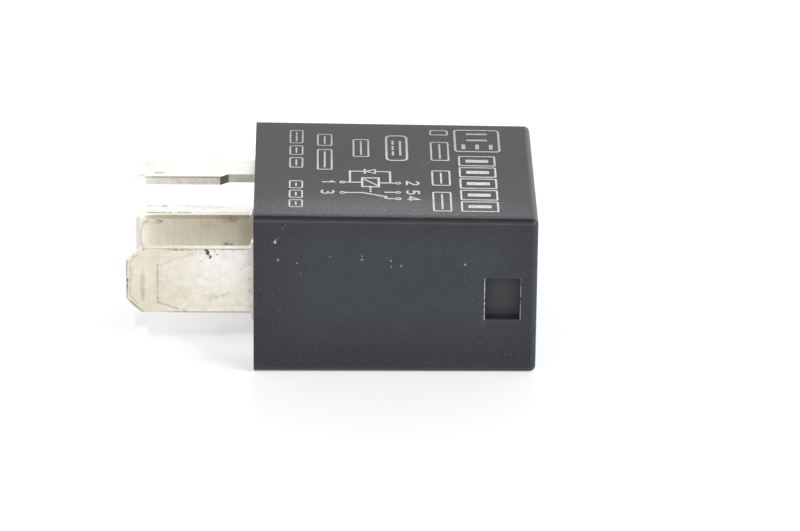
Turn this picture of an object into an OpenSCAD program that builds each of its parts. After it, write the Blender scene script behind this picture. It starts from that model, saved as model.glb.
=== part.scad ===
// Five-blade changeover micro relay: a plug-in cover and base, with its coil,
// magnet frame, hinged armature and contacts inside.
// It lies on its wide face. +X runs from the blades to the closed end of the
// cover, +Y across the wide face and +Z up. The origin is the middle of the
// cover's rim, where the relay seats on its socket. Sizes are in millimetres.

/* [Cover] */
// Length of the cover from the rim to the closed end
body_l = 25; // [24.6:0.1:27]
// Width of the cover across its wide face, at the rim
body_w = 22.5; // [22.4:0.1:23.4]
// Thickness of the cover between its wide faces, at the rim
body_h = 15; // [14.6:0.1:15.6]
// Thickness of the cover's walls
wall = 1.1; // [0.9:0.05:1.15]
// How far each tapered side comes in at the closed end
draft = 0.146; // [0.05:0.01:0.2]
// Radius of the long edges at the rim
edge_r_rim = 0.62; // [0.35:0.01:0.8]
// Radius of the long edges at the closed end
edge_r_cap = 0.5; // [0.2:0.01:0.6]
// Rounding between the sides and the closed end
cap_r = 0.55; // [0.3:0.05:0.8]

/* [Side pockets] */
// Length of the pocket in each narrow side
pocket_l = 3.1; // [2.4:0.05:3.4]
// Height of the pocket
pocket_h = 3.9; // [3:0.05:5]
// Depth of the pocket
pocket_depth = 0.85; // [0.4:0.05:0.9]
// Distance from the rim to the middle of the pocket
pocket_x = 21.95; // [21:0.05:22.3]
// Height of the pocket's middle above the mid-plane
pocket_z = -0.35; // [-1:0.05:1]

/* [Blades] */
// Thickness of the terminal sheet
blade_t = 0.8; // [0.7:0.05:0.8]
// Width of the two wide blades
wide_blade_w = 6.2; // [5.8:0.1:6.4]
// Width of the three narrow blades
narrow_blade_w = 4.6; // [4.2:0.1:4.9]
// How far the common blade stands out of the rim
common_len = 11.3; // [9:0.1:12]
// How far the normally open blade stands out of the rim
no_len = 10.7; // [9:0.1:12]
// How far the three narrow blades stand out of the rim
narrow_len = 11.1; // [9:0.1:12]
// Place of the common blade across the body
common_y = -7.75; // [-8:0.05:-7.6]
// Place of the normally open blade across the body
no_y = -0.2; // [-0.3:0.05:0.2]
// Place of the row of narrow blades across the body
row_y = 5.95; // [5.85:0.05:6.3]
// Spacing of the narrow blades in their row
row_pitch = 4.65; // [4.4:0.05:4.7]

/* [Magnet] */
// Outer radius of the wound coil
winding_r = 4.9; // [4.2:0.1:5.2]
// Radius of the bobbin's flanges
flange_r = 5.7; // [5.3:0.1:5.7]
// Radius of the iron core
core_r = 2.3; // [2:0.05:2.4]
// Radius of the core's pole head
pole_r = 3.9; // [3:0.1:4]
// Thickness of the yoke sheet
yoke_t = 1.5; // [1.3:0.1:1.5]
// Width of the yoke
yoke_w = 9.6; // [8:0.1:10]
// Thickness of the armature
armature_t = 1.3; // [1:0.1:1.3]
// Swing of the armature between its two rests, in degrees
swing = 3; // [2:0.25:3]

/* [Contacts] */
// Radius of the contact buttons
contact_r = 1.4; // [1:0.05:1.45]
// Thickness of the contact spring leaf
leaf_t = 0.2; // [0.15:0.01:0.22]

/* [Hidden] */
$fn = 48;

eps = 0.01;
fit = 0.05;                      // clearance of the inserted pieces
in_y = body_w / 2 - wall;        // inner half width
in_z = body_h / 2 - wall;        // inner half thickness
floor_x = body_l - wall;         // inner face of the closed end
base_x0 = 0.4;                   // outer face of the base
base_x1 = 3.0;                   // inner face of the base
bend_r = 0.7;                    // centre-line radius of the folds
coil_y = -1.6;                   // coil axis
yoke_x0 = 4.5;                   // back face of the yoke
pole_x = 19.4;                   // pole face
leg_y = coil_y - 6.1 - yoke_t / 2;   // middle of the yoke's long leg
hinge_x = pole_x - 0.35;         // swing axis of the armature
hinge_y = leg_y;
plate_x0 = pole_x + fit;         // armature's inner face when pulled in
plate_x1 = plate_x0 + armature_t;
contact_y = 6.9;                 // contact line
diode_x = 7.45;
post_y = row_y + 0.6;            // coil posts and diode
post_end = 8.0;

// Contact heights: the fixed buttons sit where the moving one comes to rest
nib = 0.8;                       // moving button, inner side
nob = 0.5;                       // moving button, outer side
gap = 0.03;
no_face = plate_x1 - nib - gap;
arm = [plate_x1 + leaf_t + nob - hinge_x, contact_y - hinge_y];
nc_face = hinge_x + arm[0] * cos(swing) + arm[1] * sin(swing) + gap;
no_carrier = no_face - 0.6 - blade_t / 2;
nc_carrier = nc_face + 0.5 + blade_t / 2;

// ---- outline helpers ----

// Rounded rectangle of w by h, as points
function rrect(w, h, r, n = 5) = [for (q = [0:3]) for (i = [0:n])
  let (a = q * 90 + i * 90 / n,
    sx = (q == 0 || q == 3) ? 1 : -1, sy = q < 2 ? 1 : -1)
  [sx * (w / 2 - r) + r * cos(a), sy * (h / 2 - r) + r * sin(a)]];

// Walks along straights [length] and arcs [radius, turn], giving [x, y, heading]
function walk(path, p, a, i = 0) = i >= len(path) ? [[p[0], p[1], a]] :
  len(path[i]) == 1 ?
    concat([[p[0], p[1], a]],
      walk(path, p + path[i][0] * [cos(a), sin(a)], a, i + 1)) :
    let (r = path[i][0], t = path[i][1], s = t > 0 ? 1 : -1, n = 8,
      c = p + s * r * [-sin(a), cos(a)],
      at = function (k) c + s * r * [sin(a + t * k / n), -cos(a + t * k / n)])
    concat([for (k = [0:n - 1]) [at(k)[0], at(k)[1], a + t * k / n]],
      walk(path, at(n), a + t, i + 1));

// Edge-on outline of a sheet of thickness t folded along a walk
function folded(w, t) = concat(
  [for (q = w) [q[0] - t / 2 * sin(q[2]), q[1] + t / 2 * cos(q[2])]],
  [for (k = [len(w) - 1:-1:0])
    [w[k][0] + t / 2 * sin(w[k][2]), w[k][1] - t / 2 * cos(w[k][2])]]);

// Sheet folded in the XY plane, of width w about the mid-plane
module fold_xy(path, p, a, t, w)
  translate([0, 0, -w / 2]) linear_extrude(w)
    polygon(folded(walk(path, p, a), t));

// Outline drawn in XZ, extruded along Y from y0 by d
module along_y(y0, d)
  translate([0, y0 + d, 0]) rotate([90, 0, 0]) linear_extrude(d) children();

// Outline drawn in YZ, extruded along X from x0 by d
module along_x(x0, d)
  translate([x0, 0, 0]) rotate([90, 0, 90]) linear_extrude(d) children();

module box(lo, hi) translate(lo) cube(hi - lo);

// Turns a pulled-in armature piece back to where it rests
module at_rest() translate([hinge_x, hinge_y, 0]) rotate([0, 0, -swing])
  translate([-hinge_x, -hinge_y, 0]) children();

// ---- cover ----

// Cross-section slab of the cover's outside. The lower face stays level, and
// the two sides and the upper face come in towards the closed end
module cover_slab(x, inset, thick = 0.02) {
  k = x / body_l;
  w = body_w - 2 * draft * k - 2 * inset;
  h = body_h - 2 * draft * k - 2 * inset;
  r = edge_r_rim + (edge_r_cap - edge_r_rim) * k;
  along_x(x - thick, thick) translate([0, -draft * k])
    polygon(rrect(w, h, max(r - inset, 0.12)));
}

module cover_outside() hull() {
  cover_slab(0.02, 0);
  for (a = [0:18:90])
    cover_slab(body_l - cap_r + cap_r * sin(a), cap_r * (1 - cos(a)));
}

module cover() color([0.13, 0.13, 0.14]) {
  px0 = pocket_x - pocket_l / 2;
  px1 = pocket_x + pocket_l / 2;
  pz0 = pocket_z - pocket_h / 2;
  pz1 = pocket_z + pocket_h / 2;
  difference() {
    cover_outside();
    difference() {
      box([-1, -in_y, -in_z], [floor_x, in_y, in_z]);
      // pads behind the pockets
      for (s = [-1, 1]) box([px0 - 0.5, s * in_y - 0.3, pz0 - 0.5],
        [floor_x + 1, s * in_y + 0.3, pz1 + 0.5]);
    }
    // lead-in for the base
    for (s = [-1, 1]) {
      translate([0, s * in_y, 0]) rotate([0, 0, 45])
        cube([0.4, 0.4, 2 * in_z], center = true);
      translate([0, 0, s * in_z]) rotate([0, 45, 0])
        cube([0.4, 2 * in_y, 0.4], center = true);
    }
    for (s = [-1, 1]) {
      // side pocket
      mirror([0, s > 0 ? 1 : 0, 0])
        box([px0, -body_w / 2 - 1, pz0],
          [px1, -body_w / 2 + draft + pocket_depth, pz1]);
      // seat of the base's snap
      mirror([0, s > 0 ? 1 : 0, 0])
        box([1.1, -in_y - 0.45, -2.1], [2.3, -in_y + 0.1, 2.1]);
    }
  }
}

// ---- base ----

module slot_y(y, w) box([base_x0 - 1, y - blade_t / 2 - fit, -w / 2 - fit],
  [base_x1 + 1, y + blade_t / 2 + fit, w / 2 + fit]);
module slot_z(z, w) box([base_x0 - 1, row_y - w / 2 - fit,
  z - blade_t / 2 - fit], [base_x1 + 1, row_y + w / 2 + fit,
  z + blade_t / 2 + fit]);

shoulder_w = wide_blade_w + 1.4;
neck_w = narrow_blade_w - 1.2;

module base() color([0.11, 0.11, 0.12]) difference() {
  union() {
    along_x(base_x0, base_x1 - base_x0)
      polygon(rrect(2 * in_y - 2 * fit, 2 * in_z - 2 * fit, 0.3));
    // snaps on the narrow sides
    for (s = [0, 1]) mirror([0, s, 0]) translate([0, 0, -2]) linear_extrude(4)
      polygon([[1.2, in_y - 0.3], [1.2, in_y + fit], [1.5, in_y + 0.35],
        [2.15, in_y + 0.35], [2.15, in_y - 0.3]]);
    // ribs that hold the magnet frame off the base
    for (s = [-1, 1]) box([base_x1 - 0.1, -9, s * 4.4 - 0.5],
      [yoke_x0 - fit, -1.2, s * 4.4 + 0.5]);
  }
  slot_y(common_y, shoulder_w);
  slot_y(no_y, shoulder_w);
  for (z = [-row_pitch, 0, row_pitch]) slot_z(z, neck_w);
  // relief for the fold of the common terminal
  box([base_x1 - 0.2, common_y - 0.6, -shoulder_w / 2],
    [base_x1 + 2, common_y + 3.3, shoulder_w / 2]);
}

// ---- terminals ----

// Cross-section of a blade at x: a flat of width f at thickness t, falling to
// thickness e at the edges of width w
module blade_slab(x, w, f, t, e) along_x(x, 0.01)
  polygon([[-w / 2, -e / 2], [-f / 2, -t / 2], [f / 2, -t / 2],
    [w / 2, -e / 2], [w / 2, e / 2], [f / 2, t / 2], [-f / 2, t / 2],
    [-w / 2, e / 2]]);

// Blade along -X from x1, lying flat in XY. The tip is coined thinner from
// x = lead on, its flat narrows by side at each edge over run, and each corner
// is cut back by cx along the blade and cz across it
module blade(w, length, x1, lead, run, side, cx, cz) {
  t = blade_t;
  tip = -length;
  corner = [[1, 0], [0.75, 0.12], [0.45, 0.38], [0.2, 0.65], [0.05, 0.86],
    [0, 1]];
  intersection() {
    hull() {
      blade_slab(x1 - 0.01, w, w - 0.14, t, t - 0.12);
      blade_slab(tip + run, w, w - 0.14, t, t - 0.12);
      blade_slab(tip + lead, w, w - 2 * side, t, t - 0.2 * side);
      blade_slab(tip + min(0.35, 0.6 * lead), w, w - 2.1 * side, t * 0.74,
        t * 0.6);
      blade_slab(tip, w, w - 2.3 * side, t * 0.46, t * 0.36);
    }
    translate([0, 0, -t]) linear_extrude(2 * t) polygon(concat(
      [[x1, -w / 2]],
      [for (c = corner) [tip + cx * c[0], -w / 2 + cz * c[1]]],
      [for (k = [5:-1:0])
        [tip + cx * corner[k][0], w / 2 - cz * corner[k][1]]],
      [[x1, w / 2]]));
  }
}

// Narrow blade with its stepped neck, reaching x1
module narrow_blade(x1) {
  w = narrow_blade_w;
  n = neck_w;
  blade(w, narrow_len, -3.2, 0.6, 2, 0.5, 1.2, 0.9);
  translate([0, 0, -blade_t / 2]) linear_extrude(blade_t) polygon([
    [-3.22, -w / 2], [-3.08, -w / 2 + 0.06], [-2.55, -n / 2 - 0.06],
    [-2.36, -n / 2], [x1, -n / 2], [x1, n / 2], [-2.36, n / 2],
    [-2.55, n / 2 + 0.06], [-3.08, w / 2 - 0.06], [-3.22, w / 2]]);
}

// Wide blade with the shoulder that sits in the base
module wide_blade(length, lead, run, side, cx, cz) {
  w = wide_blade_w;
  s = shoulder_w;
  blade(w, length, -0.4, lead, run, side, cx, cz);
  translate([0, 0, -blade_t / 2]) linear_extrude(blade_t) polygon([
    [-0.42, -w / 2], [-0.34, -w / 2 - 0.06], [-0.26, -w / 2 - 0.24],
    [-0.2, -s / 2 + 0.12], [-0.08, -s / 2], [2.2, -s / 2], [2.5, -w / 2],
    [2.5, w / 2], [2.2, s / 2], [-0.08, s / 2], [-0.2, s / 2 - 0.12],
    [-0.26, w / 2 + 0.24], [-0.34, w / 2 + 0.06], [-0.42, w / 2]]);
}

module coil_terminal(s) color([0.84, 0.82, 0.76]) difference() {
  translate([0, row_y, s * row_pitch]) narrow_blade(2.6);
  translate([0, post_y, s * row_pitch])
    box([2.5, -0.8, -blade_t / 2], [post_end, 0.8, blade_t / 2]);
  // notch for the diode's lead
  translate([0, post_y, s * row_pitch])
    box([diode_x - 0.36, -0.37, -1], [post_end + 1, 0.37, 1]);
}
module coil_terminal_1() coil_terminal(1);
module coil_terminal_2() coil_terminal(-1);

module common_terminal() color([0.86, 0.84, 0.79]) {
  translate([0, common_y, 0]) rotate([90, 0, 0])
    wide_blade(common_len, 2.8, 5.8, 1.3, 1.5, 1.4);
  fold_xy([[yoke_x0 - blade_t / 2 - bend_r - 2.4], [bend_r, 90], [2.2]],
    [2.4, common_y], 0, blade_t, 5.4);
}

module no_terminal() color([0.80, 0.77, 0.68]) {
  cross_x = 3.55;
  riser_y = 4.6;
  translate([0, no_y, 0]) rotate([90, 0, 0])
    wide_blade(no_len, 0.6, 2, 0.6, 1.3, 0.5);
  fold_xy([[cross_x - bend_r - 2.4], [bend_r, 90],
    [riser_y - no_y - 2 * bend_r], [bend_r, -90],
    [no_carrier - bend_r - cross_x - bend_r], [bend_r, 90],
    [contact_y + 1.3 - riser_y - bend_r]], [2.4, no_y], 0, blade_t, 3.2);
}

module nc_terminal() color([0.86, 0.84, 0.79]) {
  riser_y = 9.35;
  translate([0, row_y, 0]) narrow_blade(2.2);
  // strip through the base, folded up at its outer edge
  box([2.1, row_y - 0.2, -blade_t / 2],
    [4.8, row_y + neck_w / 2, blade_t / 2]);
  along_x(3.2, 1.6) polygon(folded(walk([[1.2], [bend_r, 90], [1.7]],
    [riser_y - bend_r - 1.2, 0], 0), blade_t));
  // riser beside the wall
  along_y(riser_y - blade_t / 2, blade_t) polygon([[3.2, bend_r],
    [3.2, 2.4], [5.2, 2.4], [6.4, 1.6], [nc_carrier - bend_r, 1.6],
    [nc_carrier - bend_r, -1.6], [6.4, -1.6], [5, bend_r]]);
  // contact carrier across the closed end
  fold_xy([[0.5], [bend_r, -90], [riser_y - bend_r - contact_y + 1.5]],
    [nc_carrier - bend_r - 0.5, riser_y], 0, blade_t, 3.2);
}

// ---- contacts ----

// Button of radius contact_r along +X with a domed end
module domed(h) rotate([0, 90, 0]) rotate_extrude() intersection() {
  square([contact_r, h]);
  translate([0, h - 6]) circle(r = 6, $fn = 96);
}

module no_contact() color([0.83, 0.83, 0.81])
  translate([no_carrier + blade_t / 2, contact_y, 0]) rotate([0, 90, 0])
    cylinder(r = contact_r, h = no_face - no_carrier - blade_t / 2);

module nc_contact() color([0.83, 0.83, 0.81])
  translate([nc_face, contact_y, 0]) rotate([0, 90, 0])
    cylinder(r = contact_r, h = nc_carrier - blade_t / 2 - nc_face);

module moving_contact() color([0.83, 0.83, 0.81]) at_rest() {
  translate([plate_x1 + leaf_t, contact_y, 0]) domed(nob);
  translate([plate_x1, contact_y, 0]) mirror([1, 0, 0]) domed(nib);
  translate([plate_x1 - 0.1, contact_y, 0]) rotate([0, 90, 0])
    cylinder(r = 0.7, h = leaf_t + 0.2);
}

// ---- magnet ----

module yoke() color([0.62, 0.63, 0.65]) difference() {
  union() {
    fold_xy([[1.8 - hinge_y - 1.1], [1.1, 90],
      [hinge_x - yoke_x0 - yoke_t / 2 - 1.1]],
      [yoke_x0 + yoke_t / 2, 1.8], -90, yoke_t, yoke_w);
    // rounded edge that the armature rocks on
    translate([hinge_x, hinge_y, -yoke_w / 2])
      cylinder(r = yoke_t / 2, h = yoke_w);
  }
  translate([yoke_x0 - 1, coil_y, 0]) rotate([0, 90, 0])
    cylinder(r = 1.52, h = yoke_t + 2);
  for (x = [11.2, 15]) translate([x, hinge_y + 2, 0]) rotate([90, 0, 0])
    cylinder(r = 0.72, h = 4);
}

module core() color([0.66, 0.66, 0.67]) translate([0, coil_y, 0])
  rotate([0, 90, 0]) {
    translate([0, 0, yoke_x0 - 0.4]) cylinder(r = 2, h = 0.4);
    translate([0, 0, yoke_x0 - 0.1])
      cylinder(r = 1.5, h = yoke_t + 0.2);
    translate([0, 0, yoke_x0 + yoke_t])
      cylinder(r = core_r, h = pole_x - 0.5 - yoke_x0 - yoke_t);
    translate([0, 0, pole_x - 0.9]) cylinder(r = pole_r, h = 0.9);
  }

module bobbin() color([0.78, 0.76, 0.70]) translate([0, coil_y, 0])
  rotate([0, 90, 0]) difference() {
    union() {
      translate([0, 0, yoke_x0 + yoke_t]) cylinder(r = flange_r, h = 0.8);
      translate([0, 0, pole_x - 1.7]) cylinder(r = flange_r, h = 0.8);
      translate([0, 0, yoke_x0 + yoke_t])
        cylinder(r = core_r + 0.7, h = pole_x - 0.9 - yoke_x0 - yoke_t);
    }
    translate([0, 0, 1]) cylinder(r = core_r + fit, h = body_l);
  }

module winding() color([0.70, 0.36, 0.17]) {
  x0 = yoke_x0 + yoke_t + 0.8 + fit;
  translate([0, coil_y, 0]) rotate([0, 90, 0]) difference() {
    translate([0, 0, x0])
      cylinder(r = winding_r, h = pole_x - 1.7 - fit - x0);
    translate([0, 0, x0 - 1])
      cylinder(r = core_r + 0.7 + fit, h = body_l);
  }
  // ends of the wire, each led out and wound on its terminal's post
  for (s = [-1, 1]) {
    z = s * (winding_r - 0.65);
    a = [x0 + 1.2, coil_y + 1.2, z];
    b = [6.2, post_y - 0.95, s * row_pitch];
    d = b - a;
    translate(a) rotate([0, acos(d[2] / norm(d)), atan2(d[1], d[0])])
      cylinder(r = 0.12, h = norm(d));
    difference() {
      box([5.7, post_y - 1.05, s * row_pitch - blade_t / 2 - 0.25],
        [6.6, post_y + 1.05, s * row_pitch + blade_t / 2 + 0.25]);
      box([5, post_y - 0.8 - fit / 2, s * row_pitch - blade_t / 2 - fit / 2],
        [7, post_y + 0.8 + fit / 2, s * row_pitch + blade_t / 2 + fit / 2]);
    }
  }
}

module diode() color([0.09, 0.09, 0.10])
  translate([diode_x, post_y, 0]) {
    translate([0, 0, -2.35]) cylinder(r = 1.3, h = 4.7);
    for (s = [0, 1]) mirror([0, 0, s]) translate([0, 0, 2.35])
      cylinder(r1 = 1.3, r2 = 1.05, h = 0.25);
  }

module diode_leads() color([0.80, 0.80, 0.78])
  for (s = [0, 1]) mirror([0, 0, s]) translate([diode_x, post_y, 2.6])
    cylinder(r = 0.33, h = row_pitch + blade_t / 2 + 0.25 - 2.6);

// ---- armature ----

rivet_y = [-4.6, 0.4];

module armature() color([0.60, 0.61, 0.63]) at_rest() difference() {
  along_x(plate_x0, armature_t) polygon([[hinge_y - 0.5, -4.6],
    [1.4, -4.6], [2.6, -3.4], [2.6, 3.4], [1.4, 4.6],
    [hinge_y - 0.5, 4.6]]);
  // groove that rocks on the yoke's edge
  translate([hinge_x, hinge_y, -6]) cylinder(r = yoke_t / 2 + fit, h = 12);
  // outer corner cut back under the spring's bend
  translate([plate_x1, hinge_y - 0.5, 0]) rotate([0, 0, 45])
    cube([0.75, 0.75, 12], center = true);
  for (y = rivet_y) translate([plate_x0 - 1, y, 0]) rotate([0, 90, 0])
    cylinder(r = 0.72, h = armature_t + 2);
}

leaf_y = leg_y - yoke_t / 2 - leaf_t / 2;
leaf_r = 1.15;
// The leaf leaves the yoke, loops past the hinge and lies on the armature
loop = [[leaf_r, 90 - swing + 30], [0.4], [leaf_r, -30]];
loop_end = walk(loop, [0, leaf_y], 0)[len(walk(loop, [0, leaf_y], 0)) - 1];
leaf_c = plate_x1 + leaf_t / 2 - hinge_x;
along = (loop_end[1] - hinge_y + leaf_c * sin(swing)) / cos(swing);
loop_x = hinge_x + leaf_c * cos(swing) + along * sin(swing) - loop_end[0];

module contact_spring() color([0.78, 0.55, 0.36]) difference() {
  intersection() {
    fold_xy(concat([[loop_x - 9.4]], loop,
      [[contact_y + 1.5 - hinge_y - along]]), [9.4, leaf_y], 0, leaf_t, 5.6);
    union() {
      box([9, -12, -3], [24, 3, 3]);
      along_x(18, 6) polygon([[2.9, -2.8], [4.1, -1.9], [7.3, -1.9],
        [8.1, -1.3], [8.4, -0.6], [8.4, 0.6], [8.1, 1.3], [7.3, 1.9],
        [4.1, 1.9], [2.9, 2.8]]);
    }
  }
  // window that leaves two narrow arms round the bend
  box([17.4, -12, -1.1], [24, -6.9, 1.1]);
  for (x = [11.2, 15]) translate([x, hinge_y, 0]) rotate([90, 0, 0])
    cylinder(r = 0.72, h = 4);
  at_rest() for (q = [[rivet_y[0], 0.72], [rivet_y[1], 0.72],
    [contact_y, 0.72]]) translate([plate_x1 - 0.5, q[0], 0])
      rotate([0, 90, 0]) cylinder(r = q[1], h = 1.5);
}

module yoke_rivets() color([0.72, 0.72, 0.70])
  for (x = [11.2, 15]) translate([x, leg_y + yoke_t / 2, 0])
    rotate([90, 0, 0]) {
      cylinder(r = 0.7, h = yoke_t + leaf_t + 0.1);
      translate([0, 0, yoke_t + leaf_t]) cylinder(r = 1.2, h = 0.35);
    }

module armature_rivets() color([0.72, 0.72, 0.70]) at_rest()
  for (y = rivet_y) translate([plate_x0 + 0.02, y, 0]) rotate([0, 90, 0]) {
    cylinder(r = 0.7, h = armature_t + leaf_t + 0.1);
    translate([0, 0, armature_t + leaf_t - 0.02])
      cylinder(r = 1.2, h = 0.35);
  }

cover();
base();
coil_terminal_1();
coil_terminal_2();
common_terminal();
no_terminal();
nc_terminal();
no_contact();
nc_contact();
yoke();
core();
bobbin();
winding();
diode();
diode_leads();
armature();
contact_spring();
moving_contact();
yoke_rivets();
armature_rivets();
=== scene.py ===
import math
import random

import bmesh
import bpy
from mathutils import Matrix, Vector


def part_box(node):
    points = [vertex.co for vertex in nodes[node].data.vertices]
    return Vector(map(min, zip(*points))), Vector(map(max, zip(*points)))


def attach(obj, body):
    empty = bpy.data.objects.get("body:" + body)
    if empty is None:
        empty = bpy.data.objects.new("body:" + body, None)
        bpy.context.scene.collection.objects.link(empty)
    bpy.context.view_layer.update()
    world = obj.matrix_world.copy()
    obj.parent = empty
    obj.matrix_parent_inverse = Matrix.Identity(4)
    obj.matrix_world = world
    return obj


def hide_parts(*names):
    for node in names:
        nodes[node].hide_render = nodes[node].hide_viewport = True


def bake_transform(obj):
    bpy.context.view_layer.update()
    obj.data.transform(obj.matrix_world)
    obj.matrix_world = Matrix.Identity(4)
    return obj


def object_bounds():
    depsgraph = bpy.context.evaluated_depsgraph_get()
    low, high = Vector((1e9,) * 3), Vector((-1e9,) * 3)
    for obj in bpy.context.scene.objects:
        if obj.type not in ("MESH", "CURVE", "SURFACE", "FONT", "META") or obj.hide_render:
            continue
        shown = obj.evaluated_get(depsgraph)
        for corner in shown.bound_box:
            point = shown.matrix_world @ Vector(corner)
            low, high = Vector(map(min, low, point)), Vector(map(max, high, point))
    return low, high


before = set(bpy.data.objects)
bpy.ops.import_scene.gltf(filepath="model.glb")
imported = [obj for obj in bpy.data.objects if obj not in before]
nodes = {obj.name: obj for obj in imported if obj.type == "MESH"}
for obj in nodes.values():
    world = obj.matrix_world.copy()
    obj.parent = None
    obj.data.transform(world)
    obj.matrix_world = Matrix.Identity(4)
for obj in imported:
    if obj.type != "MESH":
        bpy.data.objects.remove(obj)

cad_box = [list(c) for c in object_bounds()]
scene = bpy.context.scene
MM = 0.001


# ================================================================ camera
def make_camera():
    """The camera looks along +Y and down, at the middle of the body."""
    d, elev, yaw, roll = 447.5373, math.radians(23.8115), math.radians(1.0443), math.radians(-0.62132)
    tx, ty, lens = -0.56065, 1.86097, 223.5034
    turn = Matrix(((math.cos(yaw), -math.sin(yaw), 0), (math.sin(yaw), math.cos(yaw), 0), (0, 0, 1)))
    look = Matrix(((1, 0, 0), (0, math.sin(elev), math.cos(elev)), (0, math.cos(elev), -math.sin(elev))))
    lean = Matrix(((math.cos(roll), -math.sin(roll), 0), (math.sin(roll), math.cos(roll), 0), (0, 0, 1)))
    r = lean @ look @ turn
    right, up, ahead = r[0], r[1], r[2]
    place = Vector((12.5, 0, 0)) - (right * tx + up * ty + ahead * d)
    data = bpy.data.cameras.new("camera")
    data.lens, data.sensor_width = lens, 36
    data.clip_start, data.clip_end = 0.01, 20
    cam = bpy.data.objects.new("camera", data)
    scene.collection.objects.link(cam)
    cam.matrix_world = Matrix((
        (right[0], up[0], -ahead[0], place[0] * MM),
        (right[1], up[1], -ahead[1], place[1] * MM),
        (right[2], up[2], -ahead[2], place[2] * MM),
        (0, 0, 0, 1),
    ))
    scene.camera = cam


make_camera()
scene.view_settings.view_transform = "Standard"


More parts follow.
